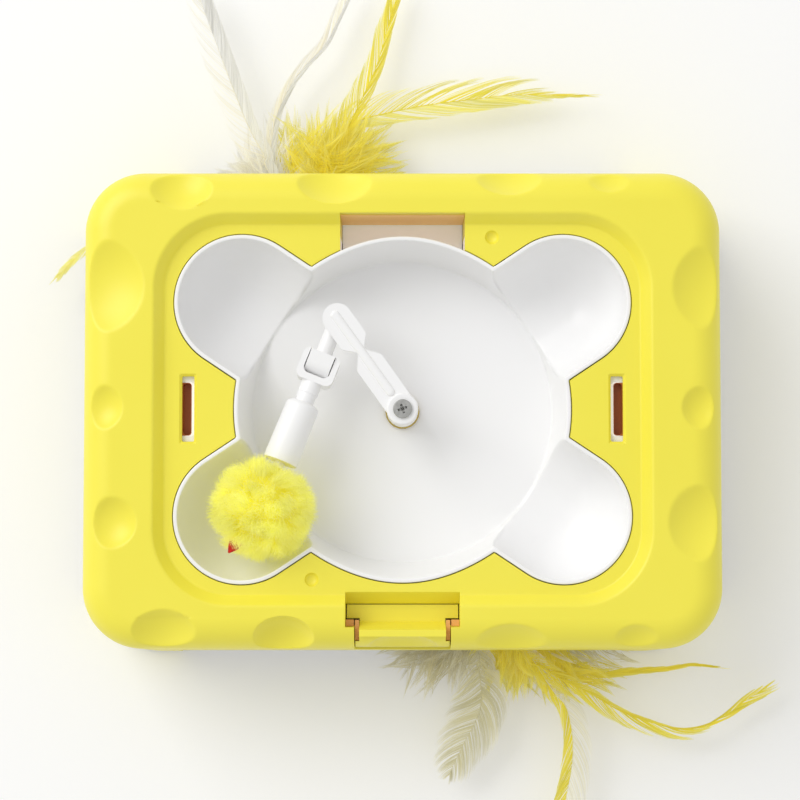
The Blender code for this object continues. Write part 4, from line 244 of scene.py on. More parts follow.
def skin(name, rings, closed=False):
    """Quads over rings of points, capped unless closed on itself; a ring of one point is a pole."""
    verts, starts = [], []
    for ring in rings:
        starts.append(len(verts))
        verts += ring
    faces = []
    count = len(rings)
    pairs = [(i, i + 1) for i in range(count - 1)] + ([(count - 1, 0)] if closed else [])
    for a, b in pairs:
        na, nb = len(rings[a]), len(rings[b])
        n = max(na, nb)
        for i in range(n):
            j = (i + 1) % n
            if na == 1:
                faces.append((starts[a], starts[b] + j, starts[b] + i))
            elif nb == 1:
                faces.append((starts[a] + i, starts[a] + j, starts[b]))
            else:
                faces.append((starts[a] + i, starts[a] + j, starts[b] + j, starts[b] + i))
    if not closed:
        for k in (0, count - 1):
            if len(rings[k]) > 2:
                faces.append(tuple(range(starts[k], starts[k] + len(rings[k]))))
    return outward(mesh_object(name, verts, faces))


def prism(name, outline, low, high):
    return skin(name, [[(x, y, z) for x, y in outline] for z in (low, high)])


def box(name, low, high):
    (x, y, z), (u, v, w) = low, high
    return prism(name, ((x, y), (u, y), (u, v), (x, v)), z, w)


def slab(name, profile, half):
    return skin(name, [[(x, y, z) for y, z in profile] for x in (-half, half)])


def circle(radius, steps, centre=(0, 0)):
    return [(centre[0] + radius * math.cos(a), centre[1] + radius * math.sin(a)) for a in angles(steps)]


def turned(name, profile, centre=(0, 0), steps=64):
    rings = []
    for radius, height in profile:
        ring = circle(radius, steps, centre) if radius > 0 else [centre]
        rings.append([(x, y, height) for x, y in ring])
    return skin(name, rings)


def moved(thing, matrix):
    thing.data.transform(matrix)
    return thing


def combine(body, tool, operation):
    change = body.modifiers.new(operation, "BOOLEAN")
    change.operation = operation
    change.solver = "EXACT"
    change.object = tool
    graph = bpy.context.evaluated_depsgraph_get()
    mesh = bpy.data.meshes.new_from_object(body.evaluated_get(graph))
    body.modifiers.clear()
    body.data = mesh
    bpy.data.objects.remove(tool)
    return body


def cut(body, *tools):
    for tool in tools:
        combine(body, tool, "DIFFERENCE")
    return body


def join(body, *tools):
    for tool in tools:
        combine(body, tool, "UNION")
    return body


def dressed(thing, look, body, replaces=(), smooth=35, bevel=0.0, segments=2):
    """Material, rounded edges and the body that the piece rides on."""
    thing.data.materials.clear()
    thing.data.materials.append(look)
    if bevel:
        round_over = thing.modifiers.new("edges", "BEVEL")
        round_over.width = bevel
        round_over.segments = segments
        round_over.limit_method = "ANGLE"
        round_over.angle_limit = math.radians(smooth)
        round_over.harden_normals = False
    thing.data.shade_smooth()
    thing.data.set_sharp_from_angle(angle=math.radians(180 if bevel else smooth))
    if bevel:
        flat = thing.modifiers.new("normals", "WEIGHTED_NORMAL")
        flat.keep_sharp = True
    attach(thing, body)
    if replaces:
        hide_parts(*replaces)
    return thing


# Housing: a fine grid over the envelope, pushed in along its normals where a scoop reaches
def rounded_point(half_x, half_y, radius, quarter, kind, t):
    """A point and its outward normal on a rounded rectangle: kind 0 is a corner's arc, 1 the side after."""
    signs = ((1, 1), (-1, 1), (-1, -1), (1, -1))
    sx, sy = signs[quarter]
    if kind == 0:
        turn = math.pi / 2 * (quarter + t)
        n = (math.cos(turn), math.sin(turn))
        return (sx * (half_x - radius) + radius * n[0], sy * (half_y - radius) + radius * n[1]), n
    tx, ty = signs[(quarter + 1) % 4]
    turn = math.pi / 2 * (quarter + 1)
    n = (math.cos(turn), math.sin(turn))
    ax, ay = sx * (half_x - radius) + radius * n[0], sy * (half_y - radius) + radius * n[1]
    bx, by = tx * (half_x - radius) + radius * n[0], ty * (half_y - radius) + radius * n[1]
    return (ax + (bx - ax) * t, ay + (by - ay) * t), n


def columns(step):
    made = []
    for quarter in range(4):
        arc = max(8, int(CORNER * math.pi / 2 / step))
        made += [(quarter, 0, i / arc) for i in range(arc)]
        length = 2 * (HALF_LENGTH if quarter % 2 == 0 else HALF_WIDTH) - 2 * CORNER
        run = int(length / step)
        made += [(quarter, 1, i / run) for i in range(run)]
    return made


def wall_inset(height, offset=0.0):
    return height * math.tan(DRAFT) + offset / math.cos(DRAFT)


def edge_ball(half_width, reach):
    """Inset, height and radius of a ball that scoops out a long side's fillet: it meets the top at its
    reach, runs out at the wall's top, and is as wide along the edge as it should be."""
    level = HEIGHT - FILLET
    middle = wall_inset(level, FILLET)
    top = level + math.sqrt(max(FILLET ** 2 - max(middle - reach, 0) ** 2, 0))
    first = np.array((reach, top))
    foot = math.radians(80 if half_width > 8 * MM and reach < 0.26 * HEIGHT else 62)
    last = np.array((middle - FILLET * math.sin(foot), level + FILLET * math.cos(foot)))
    chord = (first - last) / np.linalg.norm(first - last)
    outward = np.array((-chord[1], chord[0]))
    half = np.linalg.norm(first - last) / 2
    bulge = FILLET + (np.array((middle, level)) - last) @ outward
    low, high = 0.05 * MM, half
    for _ in range(50):
        dip = (low + high) / 2
        ball = (half * half + dip * dip) / (2 * dip)
        wide = 2 * ball * (dip + bulge) - (dip + bulge) ** 2
        low, high = (dip, high) if wide > half_width ** 2 else (low, dip)
    centre = (first + last) / 2 + outward * (ball - dip)
    return centre[0], centre[1], ball


def scoop_balls():
    """Centre and radius of each scoop's ball, tilted on a long side and straight above a short one."""
    made = []
    for side, table in HOLES.items():
        sign = 1 if side in ("north", "east") else -1
        for along, radius_share, reach_share in table:
            radius, reach = radius_share * HEIGHT, reach_share * HEIGHT
            if side in ("north", "south"):
                inset, z, ball = edge_ball(radius, reach)
                centre = (along * HALF_LENGTH, sign * (HALF_WIDTH - inset), z)
            else:
                depth = 2 * MM + 0.17 * radius
                ball = (radius * radius + depth * depth) / (2 * depth)
                centre = (sign * (HALF_LENGTH - reach + radius), along * HALF_WIDTH, HEIGHT - depth + ball)
            made.append((np.array(centre), ball))
    return made


def latch_ball():
    """The same for the scoop on the latch tongue, which lies in its wall."""
    depth, radius = LATCH_HOLE_DEPTH, LATCH_HOLE_RADIUS
    down = np.array((0, -math.sin(LATCH_HOLE_TILT), -math.cos(LATCH_HOLE_TILT)))
    inward = np.array((0, math.cos(LATCH_HOLE_TILT), -math.sin(LATCH_HOLE_TILT)))
    ball = (radius * radius + depth * depth) / (2 * depth)
    middle = np.array((0, LATCH_HOLE_INSET - HALF_WIDTH, HEIGHT)) + down * radius
    return middle - inward * (ball - depth), ball


def scoop_depth(points, normals, balls, soft):
    """How far to push each point in along its normal, with the scoops' rims rounded over a soft width."""
    depth = np.zeros(len(points))
    for centre, ball in balls:
        away = points - centre
        along = (away * normals).sum(1)
        inside = along * along + ball * ball - (away * away).sum(1)
        reach = along + np.sqrt(np.maximum(inside, 0))
        reach = np.where((inside > 0) & (along < 0), reach, -1.0)
        blend = np.where(np.abs(reach) < soft, (reach + soft) ** 2 / (4 * soft), np.maximum(reach, 0))
        depth = np.maximum(depth, blend)
    return depth


DRUM, DRUM_BULGE, LOBE, LOBE_X, LOBE_Y = 60.3 * MM, 1.7 * MM, 24.3 * MM, 57.6 * MM, 38.3 * MM
LOBE_DEPTH = 24.7 * MM
BOWL_WALL = 1.5 * MM


def bowl_reach(turn, offset):
    """Distance from the spindle to the bowl's outline in a direction, the outline grown by an offset."""
    c, s = math.cos(turn), math.sin(turn)
    reach = DRUM + offset + DRUM_BULGE * abs(s) ** 12
    length = math.hypot(LOBE_X, LOBE_Y)
    radius = LOBE + offset
    for ux, uy in ((LOBE_X / length, LOBE_Y / length), (LOBE_X / length, -LOBE_Y / length)):
        along, across = abs(c * ux + s * uy), abs(c * uy - s * ux)
        side = radius / across if across > 1e-9 else 1.0
        if side * along <= length:
            reach = max(reach, side)
        elif length * across <= radius:
            reach = max(reach, length * along + math.sqrt(radius ** 2 - (length * across) ** 2))
    return reach


def housing_form(name, step, sink, balls, wall=(1.6, 8, 15, 20, 25, 30, 40, 48, 54), panel=True):
    """The envelope's surface in rings from the foot up over the top, with the scoops pushed in."""
    cols = columns(step)
    profile = []
    middle = HEIGHT - FILLET
    centre = wall_inset(middle, FILLET)
    for z in wall:
        profile.append((wall_inset(z * MM, sink), z * MM, DRAFT))
    arc = max(8, int(FILLET * 1.5 / step))
    for i in range(arc + 1):
        turn = DRAFT + (math.pi / 2 - DRAFT) * i / arc
        radius = FILLET - sink
        profile.append((centre - radius * math.cos(turn), middle + radius * math.sin(turn), turn))
    top = HEIGHT - sink
    points, normals = [], []
    for inset, z, tilt in profile:
        for col in cols:
            (x, y), n = rounded_point(HALF_LENGTH - inset, HALF_WIDTH - inset, CORNER - inset, *col)
            points.append((x, y, z))
            normals.append((n[0] * math.cos(tilt), n[1] * math.cos(tilt), math.sin(tilt)))
    rows = len(profile)
    rim_x, rim_y, rim_r = RECESS
    edge = 1.5 * MM
    rim_rows = max(4, int(13 * MM / step))
    for i in range(1, rim_rows + 1):
        t = i / rim_rows
        for col in cols:
            (ax, ay), _ = rounded_point(HALF_LENGTH - centre, HALF_WIDTH - centre, CORNER - centre, *col)
            (bx, by), _ = rounded_point(rim_x + edge, rim_y + edge, rim_r + edge, *col)
            points.append((ax + (bx - ax) * t, ay + (by - ay) * t, top))
            normals.append((0, 0, 1))
        rows += 1
    points, normals = np.array(points), np.array(normals)
    depth = scoop_depth(points, normals, balls, 0.5 * MM)
    points -= normals * depth[:, None]
    rings = [list(map(tuple, points[k * len(cols):(k + 1) * len(cols)])) for k in range(rows)]
    if panel:
        # rounded edge, slope, hollow at its foot
        lip = []
        top_r, foot_r = 1.7 * MM, 1.1 * MM
        slope = math.atan2(4.5, 3.6)
        start = top_r * math.tan(slope / 2)
        for i in range(0, 7):
            turn = slope * i / 6
            lip.append((start - top_r * math.sin(turn), top - top_r * (1 - math.cos(turn))))
        end = foot_r * math.tan(slope / 2)
        for i in range(6, -1, -1):
            turn = slope * i / 6
            lip.append((-3.6 * MM - end + foot_r * math.sin(turn), FLOOR + foot_r * (1 - math.cos(turn))))
        for grow, z in lip:
            rings.append([
                (*rounded_point(rim_x + grow, rim_y + grow, rim_r + grow, *col)[0], z) for col in cols
            ])
        last = rings[-1]
        inner = []
        for x, y, _ in last:
            turn = math.atan2(y, x)
            reach = bowl_reach(turn, 0.35 * MM)
            inner.append((reach * math.cos(turn), reach * math.sin(turn)))
        for t in (0.3, 0.6, 0.9, 0.985):
            pairs = zip(last, inner)
            rings.append([(x + (u - x) * t, y + (v - y) * t, FLOOR) for (x, y, _), (u, v) in pairs])
        rings.append([(u, v, FLOOR - 0.25 * MM) for u, v in inner])
        rings.append([(u, v, PANEL_UNDERSIDE - 1 * MM) for u, v in inner])
    return skin(name, rings)


def rounded(half_x, half_y, radius, steps=10):
    points = []
    for quarter, (sx, sy) in enumerate(((1, 1), (-1, 1), (-1, -1), (1, -1))):
        for i in range(steps + 1):
            turn = math.pi / 2 * (quarter + i / steps)
            points.append((sx * (half_x - radius) + radius * math.cos(turn),
                           sy * (half_y - radius) + radius * math.sin(turn)))
    return points


def inner_envelope(name, offset, low):
    middle = HEIGHT - FILLET
    centre = wall_inset(middle, FILLET)
    radius = FILLET - offset
    profile = [(wall_inset(low, offset), low)]
    for i in range(9):
        turn = DRAFT + (math.pi / 2 - DRAFT) * i / 8
        profile.append((centre - radius * math.cos(turn), middle + radius * math.sin(turn)))
    rings = []
    for inset, z in profile:
        ring = rounded(HALF_LENGTH - inset, HALF_WIDTH - inset, CORNER - inset)
        rings.append([(x, y, z) for x, y in ring])
    return skin(name, rings)


def make_housing():
    balls = scoop_balls()
    step = 0.5 * MM
    body = housing_form("housing_shell", step, 0.0, balls)
    cavity = inner_envelope("cavity", WALL, -6 * MM)
    cut(cavity, prism("block", rounded(*mm(91.3, 72.3, 29)), PANEL_UNDERSIDE, 80 * MM))
    cut(cavity, box("latch_block", mm(-22.8, -91, 55.6), mm(22.8, -62.9, 70)))
    cut(cavity, box("skirt", mm(-24.8, 63, 40), mm(24.8, 72.4, 70)))
    for centre, ball in balls:
        cut(cavity, moved(ball_form(ball + WALL), Matrix.Translation(Vector(centre))))
    cut(body, cavity)
    holes = box("holes", mm(-22.4, 38.3, 34), mm(22.4, 70, 76))
    slope = (69.8 - 65.3) / (65.5 - 58)
    profile = [(-65.3 + slope * 10.5, 76), (-77.6, 76), (-77.6, 52), (-69.8, 52), (-69.8, 58)]
    join(holes, slab("pocket", [mm(*p) for p in profile], 20.4 * MM))
    join(holes, box("window", mm(-17.2, -97, 46.1), mm(17.2, -69.8, 76)))
    for sign in (1, -1):
        rings = []
        for grow, z in ((0, 57), (0, 64.6), (1.8, 66.4)):
            ring = rounded(*mm(2.2 + grow, 11.7 + grow, 0.5), 3)
            rings.append([(sign * SLOT_MIDDLE + px, py, z * MM) for px, py in ring])
        join(holes, skin("clip_slot", rings))
    for x, y in ((32.1, 61.7), (-32.4, -60.9)):
        bowed = [(2.5 * math.sin(a), 65.5 - 1.75 * math.cos(a)) for a in (0.3, 0.6, 0.9, 1.2)]
        dent = [(0, 63.75), *bowed, (2.5, 65.5), (3.1, 66.1)]
        join(holes, turned("dent", [mm(*p) for p in dent], mm(x, y), 40))
    cut(body, holes)
    arches = None
    for half, long_half, swing in ((85 * MM, HALF_WIDTH, 0), (70 * MM, HALF_LENGTH, math.pi / 2)):
        arch = rounded(half, 20 * MM, 9 * MM)
        rings = [[(x, y, z) for x, z in arch] for y in (-long_half - 6 * MM, long_half + 6 * MM)]
        piece = moved(skin("arch", rings), Matrix.Rotation(swing, 4, "Z"))
        arches = join(arches, piece) if arches else piece
    return cut(body, arches)


def ball_form(radius, steps=28, rings=28):
    made = [[(0, 0, -radius)]]
    for i in range(1, rings):
        tilt = math.pi * i / rings
        made.append([(x, y, -radius * math.cos(tilt)) for x, y in circle(radius * math.sin(tilt), steps)])
    made.append([(0, 0, radius)])
    return skin("ball", made)


def make_tongue():
    step = 0.8 * MM
    wall = (1.6, 20, 40, *np.arange(42, 59, step / MM))
    body = housing_form("tongue_shell", step, 0.8 * MM, [latch_ball()], wall, panel=False)
    combine(body, box("part", mm(-16.8, -97, 47.8), mm(16.8, -78.4, 76)), "INTERSECT")
    inside = inner_envelope("tongue_inside", 3.2 * MM, 0.0)
    centre, ball = latch_ball()
    cut(inside, moved(ball_form(ball + WALL), Matrix.Translation(Vector(centre))))
    cut(body, inside)
    profile = ((-70.1, 55.6), (-78.6, 55.6), (-80.8, 69.2), (-78.4, 69.2), (-76.2, 58), (-70.1, 58))
    join(body, slab("slope", [mm(*p) for p in profile], 15.4 * MM))
    join(body, box("floor", mm(-20, -75, 55.6), mm(20, -70.1, 58)))
    for sign in (1, -1):
        low, high = sorted((sign * 15.4, sign * 24))
        cut(body, box("slot", mm(low, -82.7, 58), mm(high, -65, 76)))
    return body


# Bowl: one height field, sampled along rays from the spindle by arc length
def smooth_min(a, b, k):
    h = np.maximum(k - np.abs(a - b), 0) / k
    return np.minimum(a, b) - h * h * k / 4


def bowl_height(x, y, grow, soft):
    """Height of the bowl's surface: inside for grow 0, and the outside for a grow of the wall."""
    r = np.hypot(x, y)
    sine = np.abs(y) / np.maximum(r, 1e-9)
    floor = 40.8 * MM - grow * 1.2
    foot = 55.6 * MM + grow
    rim = DRUM - BOWL_WALL + grow + DRUM_BULGE * sine ** 12
    height = floor + (r - foot) * (RIM - floor) / (rim - foot)
    length = math.hypot(LOBE_X, LOBE_Y)
    for ux, uy in ((LOBE_X / length, LOBE_Y / length), (LOBE_X / length, -LOBE_Y / length)):
        along, across = np.abs(x * ux + y * uy), np.abs(x * uy - y * ux)
        past = np.maximum(along - length, 0)
        radius, depth = LOBE - BOWL_WALL + grow, LOBE_DEPTH + grow
        share = np.hypot(past, across) / radius
        lobe = RIM - depth * np.sqrt(np.maximum(1 - share ** 2, 0))
        lobe = np.where(share < 1, lobe, RIM + (share - 1) * radius * 40)
        height = smooth_min(height, lobe, soft)
    # the hollow between the floor and what rises from it
    return -smooth_min(-height, np.full_like(height, -floor), 1.8 * MM)


def bowl_profile(turn, grow, soft, count):
    """Points along one ray, evenly spaced along the surface, from the spindle's hole out to the rim."""
    reach = bowl_reach(turn, grow - BOWL_WALL)
    r = np.linspace(4.4 * MM, reach, 1600)
    z = bowl_height(r * math.cos(turn), r * math.sin(turn), grow, soft)
    z = np.minimum(z, RIM)
    z[-1] = RIM
    weight = np.concatenate(([0], np.cumsum(np.hypot(np.diff(r), np.diff(z)))))
    spots = np.linspace(0, weight[-1], count)
    return np.interp(spots, weight, r), np.interp(spots, weight, z)


def make_bowl():
    count = 720
    rows = 140
    turns = angles(count)
    inside = [bowl_profile(a, 0.0, 1.6 * MM, rows) for a in turns]
    outside = [bowl_profile(a, BOWL_WALL, 0.4 * MM, 24) for a in turns]

    def ring_at(profiles, k):
        return [(r[k] * math.cos(a), r[k] * math.sin(a), z[k]) for a, (r, z) in zip(turns, profiles)]

    rings = [ring_at(inside, k) for k in range(rows - 1)]
    edge = 0.35 * MM
    for grow, drop in ((0.0, edge), (edge * 0.3, edge * 0.3), (edge, 0.0), (BOWL_WALL - edge, 0.0),
                       (BOWL_WALL - edge * 0.3, edge * 0.3), (BOWL_WALL, edge)):
        ring = []
        for a in turns:
            reach = bowl_reach(a, grow - BOWL_WALL)
            ring.append((reach * math.cos(a), reach * math.sin(a), RIM - drop))
        rings.append(ring)
    rings += [ring_at(outside, k) for k in range(22, -1, -1)]
    return skin("bowl_shell", rings, closed=True)


# Crank, link, yoke and rod
CRANK_ANGLE = math.radians(125.6)
REACH = 40.4 * MM
SWIVEL = Vector((REACH * math.cos(CRANK_ANGLE), REACH * math.sin(CRANK_ANGLE), 57.5 * MM))
POMPOM = Vector((-50.4 * MM, -35.1 * MM, 64 * MM))
TOWARDS = Vector((POMPOM.x - SWIVEL.x, POMPOM.y - SWIVEL.y, 0)).normalized()
PIVOT = SWIVEL + TOWARDS * 17.55 * MM


def blade_outline():
    half = [(0, 5.3), (20.2, 5.35), (20.7, 5.2), (24.6, 2.1), (25.1, 1.75), (25.7, 1.65), (26.3, 1.85),
            (26.9, 2.4), (29.3, 4.7), (29.9, 5.15), (30.6, 5.35)]
    for i in range(0, 17):
        turn = math.pi / 2 * i / 16
        half.append((40.2 + 5.4 * math.sin(turn), 5.35 * math.cos(turn)))
    return [mm(*p) for p in half]


def make_crank():
    half = blade_outline()
    outline = half + [(x, -y) for x, y in reversed(half[:-1])]
    body = prism("crank_blade", outline, 62 * MM, 64.6 * MM)
    rings = []
    for z, shrink in ((63.8, 0), (64.7, 0), (65.2, 0.35), (65.4, 0.8), (65.45, 1.2)):
        ring = rounded((18.6 - shrink) * MM, (1.65 - shrink) * MM, (1.6 - shrink) * MM, 6)
        rings.append([(x + 24.6 * MM, y, z * MM) for x, y in ring])
    join(body, skin("rib", rings))
    hub = [(5.5, 42.5), (5.7, 42.8), (5.7, 65.3), (5.6, 65.65), (5.3, 65.9), (4.9, 66)]
    join(body, turned("hub", [mm(*p) for p in hub]))
    join(body, turned("peg", (mm(2, 54.2), mm(2, 63)), (REACH, 0), 32))
    cut(body, turned("bore", (mm(2.62, 40), mm(2.62, 59.8))))
    cut(body, turned("screw_hole", (mm(1.62, 50), mm(1.62, 70))))
    return moved(body, Matrix.Rotation(CRANK_ANGLE, 4, "Z"))


def make_hub_screw():
    seat = 66.2
    profile = [(1.4, 54.2), (1.4, seat), (3.4, seat), (3.4, seat + 0.7)]
    profile += [(3.3, seat + 0.82), (3.05, seat + 0.88)]
    body = turned("hub_screw", [mm(*p) for p in profile])
    recess = [(0.2, seat - 1.6), (0.75, seat - 0.2), (0.95, seat + 2)]
    tools = [turned("recess", [mm(*p) for p in recess], steps=24)]
    for x, y in ((1.75, 0.42), (0.42, 1.75)):
        tools.append(box("cross", mm(-x, -y, seat - 0.7), mm(x, y, 70)))
    for tool in tools:
        cut(body, moved(tool, Matrix.Rotation(math.radians(20), 4, "Z")))
    return body


def frame_of(along, origin):
    along = along.normalized()
    across = Vector((0, 0, 1)).cross(along).normalized()
    up = along.cross(across)
    return Matrix.Translation(origin) @ Matrix((along, across, up)).transposed().to_4x4()


ROD_FRAME = frame_of(POMPOM - PIVOT, PIVOT)
LINK_FRAME = frame_of(PIVOT - SWIVEL, PIVOT)


def bar(name, profile, steps=48):
    """A solid of revolution about the frame's X, from (x, radius) points in mm."""
    rings = []
    for x, r in profile:
        rings.append([(x * MM, r * MM * math.cos(a), r * MM * math.sin(a)) for a in angles(steps)])
    return skin(name, rings)


def cross_bar(name, half, radius, steps=40):
    rings = []
    for y in (-half, half):
        rings.append([mm(radius * math.cos(a), y, radius * math.sin(a)) for a in angles(steps)])
    return skin(name, rings)


def make_link():
    body = turned("link_barrel", (mm(4, 54), mm(4, 61.7)), (SWIVEL.x, SWIVEL.y), 48)
    spacing = (PIVOT - SWIVEL).length / MM
    block = cross_bar("block", 4.5, 4.3)
    join(block, box("back", mm(-4.3, -4.5, -4.3), mm(0, 4.5, 4.3)))
    join(block, bar("stub", ((-spacing, 3), (0, 3)), 32))
    join(body, moved(block, LINK_FRAME))
    cut(body, moved(cross_bar("pin_hole", 8, 1.37), LINK_FRAME))
    return cut(body, turned("peg_hole", (mm(2.12, 50), mm(2.12, 70)), (SWIVEL.x, SWIVEL.y), 32))


def make_yoke():
    plan = [(x + 1.5 * MM, y) for x, y in rounded(*mm(5.9, 6.9, 2.6))]
    body = prism("yoke_frame", plan, -3.8 * MM, 3.8 * MM)
    cut(body, prism("room", rounded(*mm(5, 4.9, 2.2)), -8 * MM, 8 * MM))
    cut(body, box("tails", mm(-14, -4.9, -8), mm(0, 4.9, 8)))
    join(body, bar("neck", ((6.2, 3.7), (11.6, 3.7), (11.9, 3.4), (15.6, 3.4), (15.7, 2.4), (20.4, 2.4))))
    join(body, box("key", mm(6.2, -3.7, -1.3), mm(14.1, 0, 1.3)))
    cut(body, cross_bar("pin_hole", 14, 1.37))
    return moved(body, ROD_FRAME)


def make_rod():
    profile = ((15.4, 4.6), (15.5, 4.9), (16.3, 5.8), (16.8, 6.05))
    body = bar("rod_sleeve", (*profile, (17.6, 6.15), (37.9, 6.35), (38.3, 6.2), (38.5, 5.8)))
    cut(body, bar("socket", ((10, 2.52), (20.6, 2.52)), 32))
    return moved(body, ROD_FRAME)


# Strands, for the pompom's fibres and the feathers' barbs
def paint(thing, tints):
    """The colour of each vertex, which the fibre material reads."""
    layer = thing.data.color_attributes.new("tint", "FLOAT_COLOR", "POINT")
    layer.data.foreach_set("color", np.hstack((tints, np.ones((len(tints), 1)))).astype(np.float32).ravel())


class Strands:
    """Flat tapering strips with a colour at each point, gathered into one mesh."""
    def __init__(self):
        self.verts, self.tints, self.faces, self.total = [], [], [], 0

    def add(self, points, widths, facing, tints):
        """Points and tints are (strips, along, 3), widths (strips, along) and facing (strips, 3)."""
        side = np.cross(np.gradient(points, axis=1), facing[:, None, :])
        side /= np.maximum(np.linalg.norm(side, axis=2, keepdims=True), 1e-12)
        side *= widths[:, :, None] / 2
        count, along = points.shape[:2]
        first = self.total + np.arange(count)[:, None] * along * 2 + np.arange(along - 1)[None, :] * 2
        self.verts.append(np.stack((points - side, points + side), axis=2).reshape(-1, 3))
        self.tints.append(np.repeat(tints.reshape(-1, 3), 2, axis=0))
        self.faces.append(np.stack((first, first + 1, first + 3, first + 2), axis=2).reshape(-1, 4))
        self.total += count * along * 2

    def tube(self, points, radii, tint, sides=6):
        """A round quill along points."""
        ahead = np.gradient(points, axis=0)
        side = np.cross(ahead, (0, 0, 1))
        side /= np.linalg.norm(side, axis=1, keepdims=True)
        up = np.cross(side, ahead)
        up /= np.linalg.norm(up, axis=1, keepdims=True)
        turn = np.linspace(0, 2 * math.pi, sides, endpoint=False)[None, :, None]
        ring = side[:, None, :] * np.cos(turn) + up[:, None, :] * np.sin(turn)
        self.verts.append((points[:, None, :] + ring * radii[:, None, None]).reshape(-1, 3))
        self.tints.append(np.tile(np.array(tint, float), (len(points) * sides, 1)))
        first = self.total + np.arange(len(points) - 1)[:, None] * sides
        a, b = np.arange(sides)[None, :], (np.arange(sides)[None, :] + 1) % sides
        quads = np.stack((first + a, first + b, first + b + sides, first + a + sides), axis=2)
        self.faces.append(quads.reshape(-1, 4))
        self.total += len(points) * sides

    def build(self, name, look):
        verts, faces = np.concatenate(self.verts).tolist(), np.concatenate(self.faces).tolist()
        made = mesh_object(name, verts, faces, look)
        paint(made, np.minimum(np.concatenate(self.tints), 1.0))
        made.data.shade_smooth()
        return made


def directions(rng, count):
    way = rng.normal(size=(count, 3))
    return way / np.linalg.norm(way, axis=1, keepdims=True)


FUR_TUFTS = 170
FUR_CENTRE = np.array(POMPOM) + np.array((0.4, -0.7, 0)) * MM
FUR_START, FUR_REACH = 12.5 * MM, 20.1 * MM
FUR_ROOT, FUR_TIP = np.array((1.0, 0.96, 0.12)), np.array((1.0, 1.0, 0.45))
FUR_TAPER = np.array((1, 1, 0.95, 0.85, 0.6, 0.12))
HAIR_WIDTH = (0.12, 0.22)


def make_pompom():
    """Dense fur whose fibres gather into leaning tufts, over a woolly core."""
    rng = np.random.default_rng(11)
    strands = Strands()
    t = np.linspace(0, 1, 6)[None, :, None]
    tint = FUR_ROOT + (FUR_TIP - FUR_ROOT) * t
    rod = np.array((ROD_FRAME.to_3x3() @ Vector((-1, 0, 0))).normalized())
    tufts = directions(rng, FUR_TUFTS)
    lean = np.cross(tufts, directions(rng, FUR_TUFTS)) * rng.uniform(0.08, 0.34, (FUR_TUFTS, 1))
    length, bright = rng.uniform(0.9, 1.03, FUR_TUFTS), rng.uniform(0.92, 1.04, FUR_TUFTS)
    out = directions(rng, 36000)
    # none through the rod
    out = out[out @ rod < 0.86]
    count = len(out)
    near = np.argmax(out @ tufts.T, axis=1)
    aim = out * 0.7 + tufts[near] * 0.3 + lean[near] + rng.normal(size=(count, 3)) * 0.08
    way = out[:, None, :] * (1 - t * t) + aim[:, None, :] * t * t
    way /= np.linalg.norm(way, axis=2, keepdims=True)
    reach = FUR_REACH * length[near] * rng.uniform(0.84, 1.02, count)
    points = FUR_CENTRE + way * (FUR_START + (reach[:, None, None] - FUR_START) * t)
    shade = (bright[near] * rng.uniform(0.95, 1.03, count))[:, None, None]
    facing = directions(rng, count) * 0.7 + out
    strands.add(points, rng.uniform(*HAIR_WIDTH, (count, 1)) * MM * FUR_TAPER, facing, tint * shade)
    # hairs that lie along the rod's end
    count = 1500
    around = np.cross(rod, directions(rng, count))
    around /= np.linalg.norm(around, axis=1, keepdims=True)
    far = rng.uniform(1.5, 4.6, (count, 1, 1)) * MM
    rise = rng.uniform(7.2, 9.4, (count, 1, 1)) * MM
    sway = rng.normal(size=(count, 1, 3)) * 1.1 * MM * t * t
    points = FUR_CENTRE + rod * (11.5 * MM + far * t) + around[:, None, :] * (rise + 1.2 * MM * t) + sway
    shade = rng.uniform(0.94, 1.04, (count, 1, 1))
    widths = rng.uniform(*HAIR_WIDTH, (count, 1)) * MM * FUR_TAPER
    strands.add(points, widths, directions(rng, count) + around, tint * shade)
    made = strands.build("pompom_fibres", FUR)
    core = moved(ball_form(15 * MM, 48, 28), Matrix.Translation(POMPOM))
    for v in core.data.vertices:
        v.co += (v.co - POMPOM).normalized() * noise.noise(v.co * 500) * 1.0 * MM
    paint(core, np.tile((1.0, 0.95, 0.1), (len(core.data.vertices), 1)))
    core.name = "pompom_core"
    return made, core


def make_beak():
    out = Vector((-0.52, -0.76, 0.39)).normalized()
    place = frame_of(out, POMPOM)
    rings = []
    for x, r in ((15.4, 2.3), (17, 2.35), (18.4, 1.9), (19.8, 1.15), (21.2, 0.25)):
        ring = [(r * math.cos(a), r * (0.45 + 0.3 * math.cos(a) ** 2) * math.sin(a)) for a in angles(32)]
        rings.append([mm(x, y, z) for y, z in ring])
    return moved(skin("beak_felt", rings), place)


def smooth_route(points, count):
    """A Catmull-Rom curve through points."""
    knots = [2 * points[0] - points[1], *points, 2 * points[-1] - points[-2]]
    route = []
    for i in range(count):
        place = i / (count - 1) * (len(points) - 1)
        k = min(int(place), len(points) - 2)
        t = place - k
        a, b, c, d = knots[k:k + 4]
        bend, twist = 2 * a - 5 * b + 4 * c - d, 3 * b - a - 3 * c + d
        route.append(0.5 * (2 * b + (c - a) * t + bend * t * t + twist * t ** 3))
    return route


# The rotor holds two bundles, half a turn apart, each fanned out in slots
AZIMUTH = math.radians(114)
CLAMP_RADIUS, SLOT_PITCH = 30.3, 1.9
SWEEP = 167 * MM


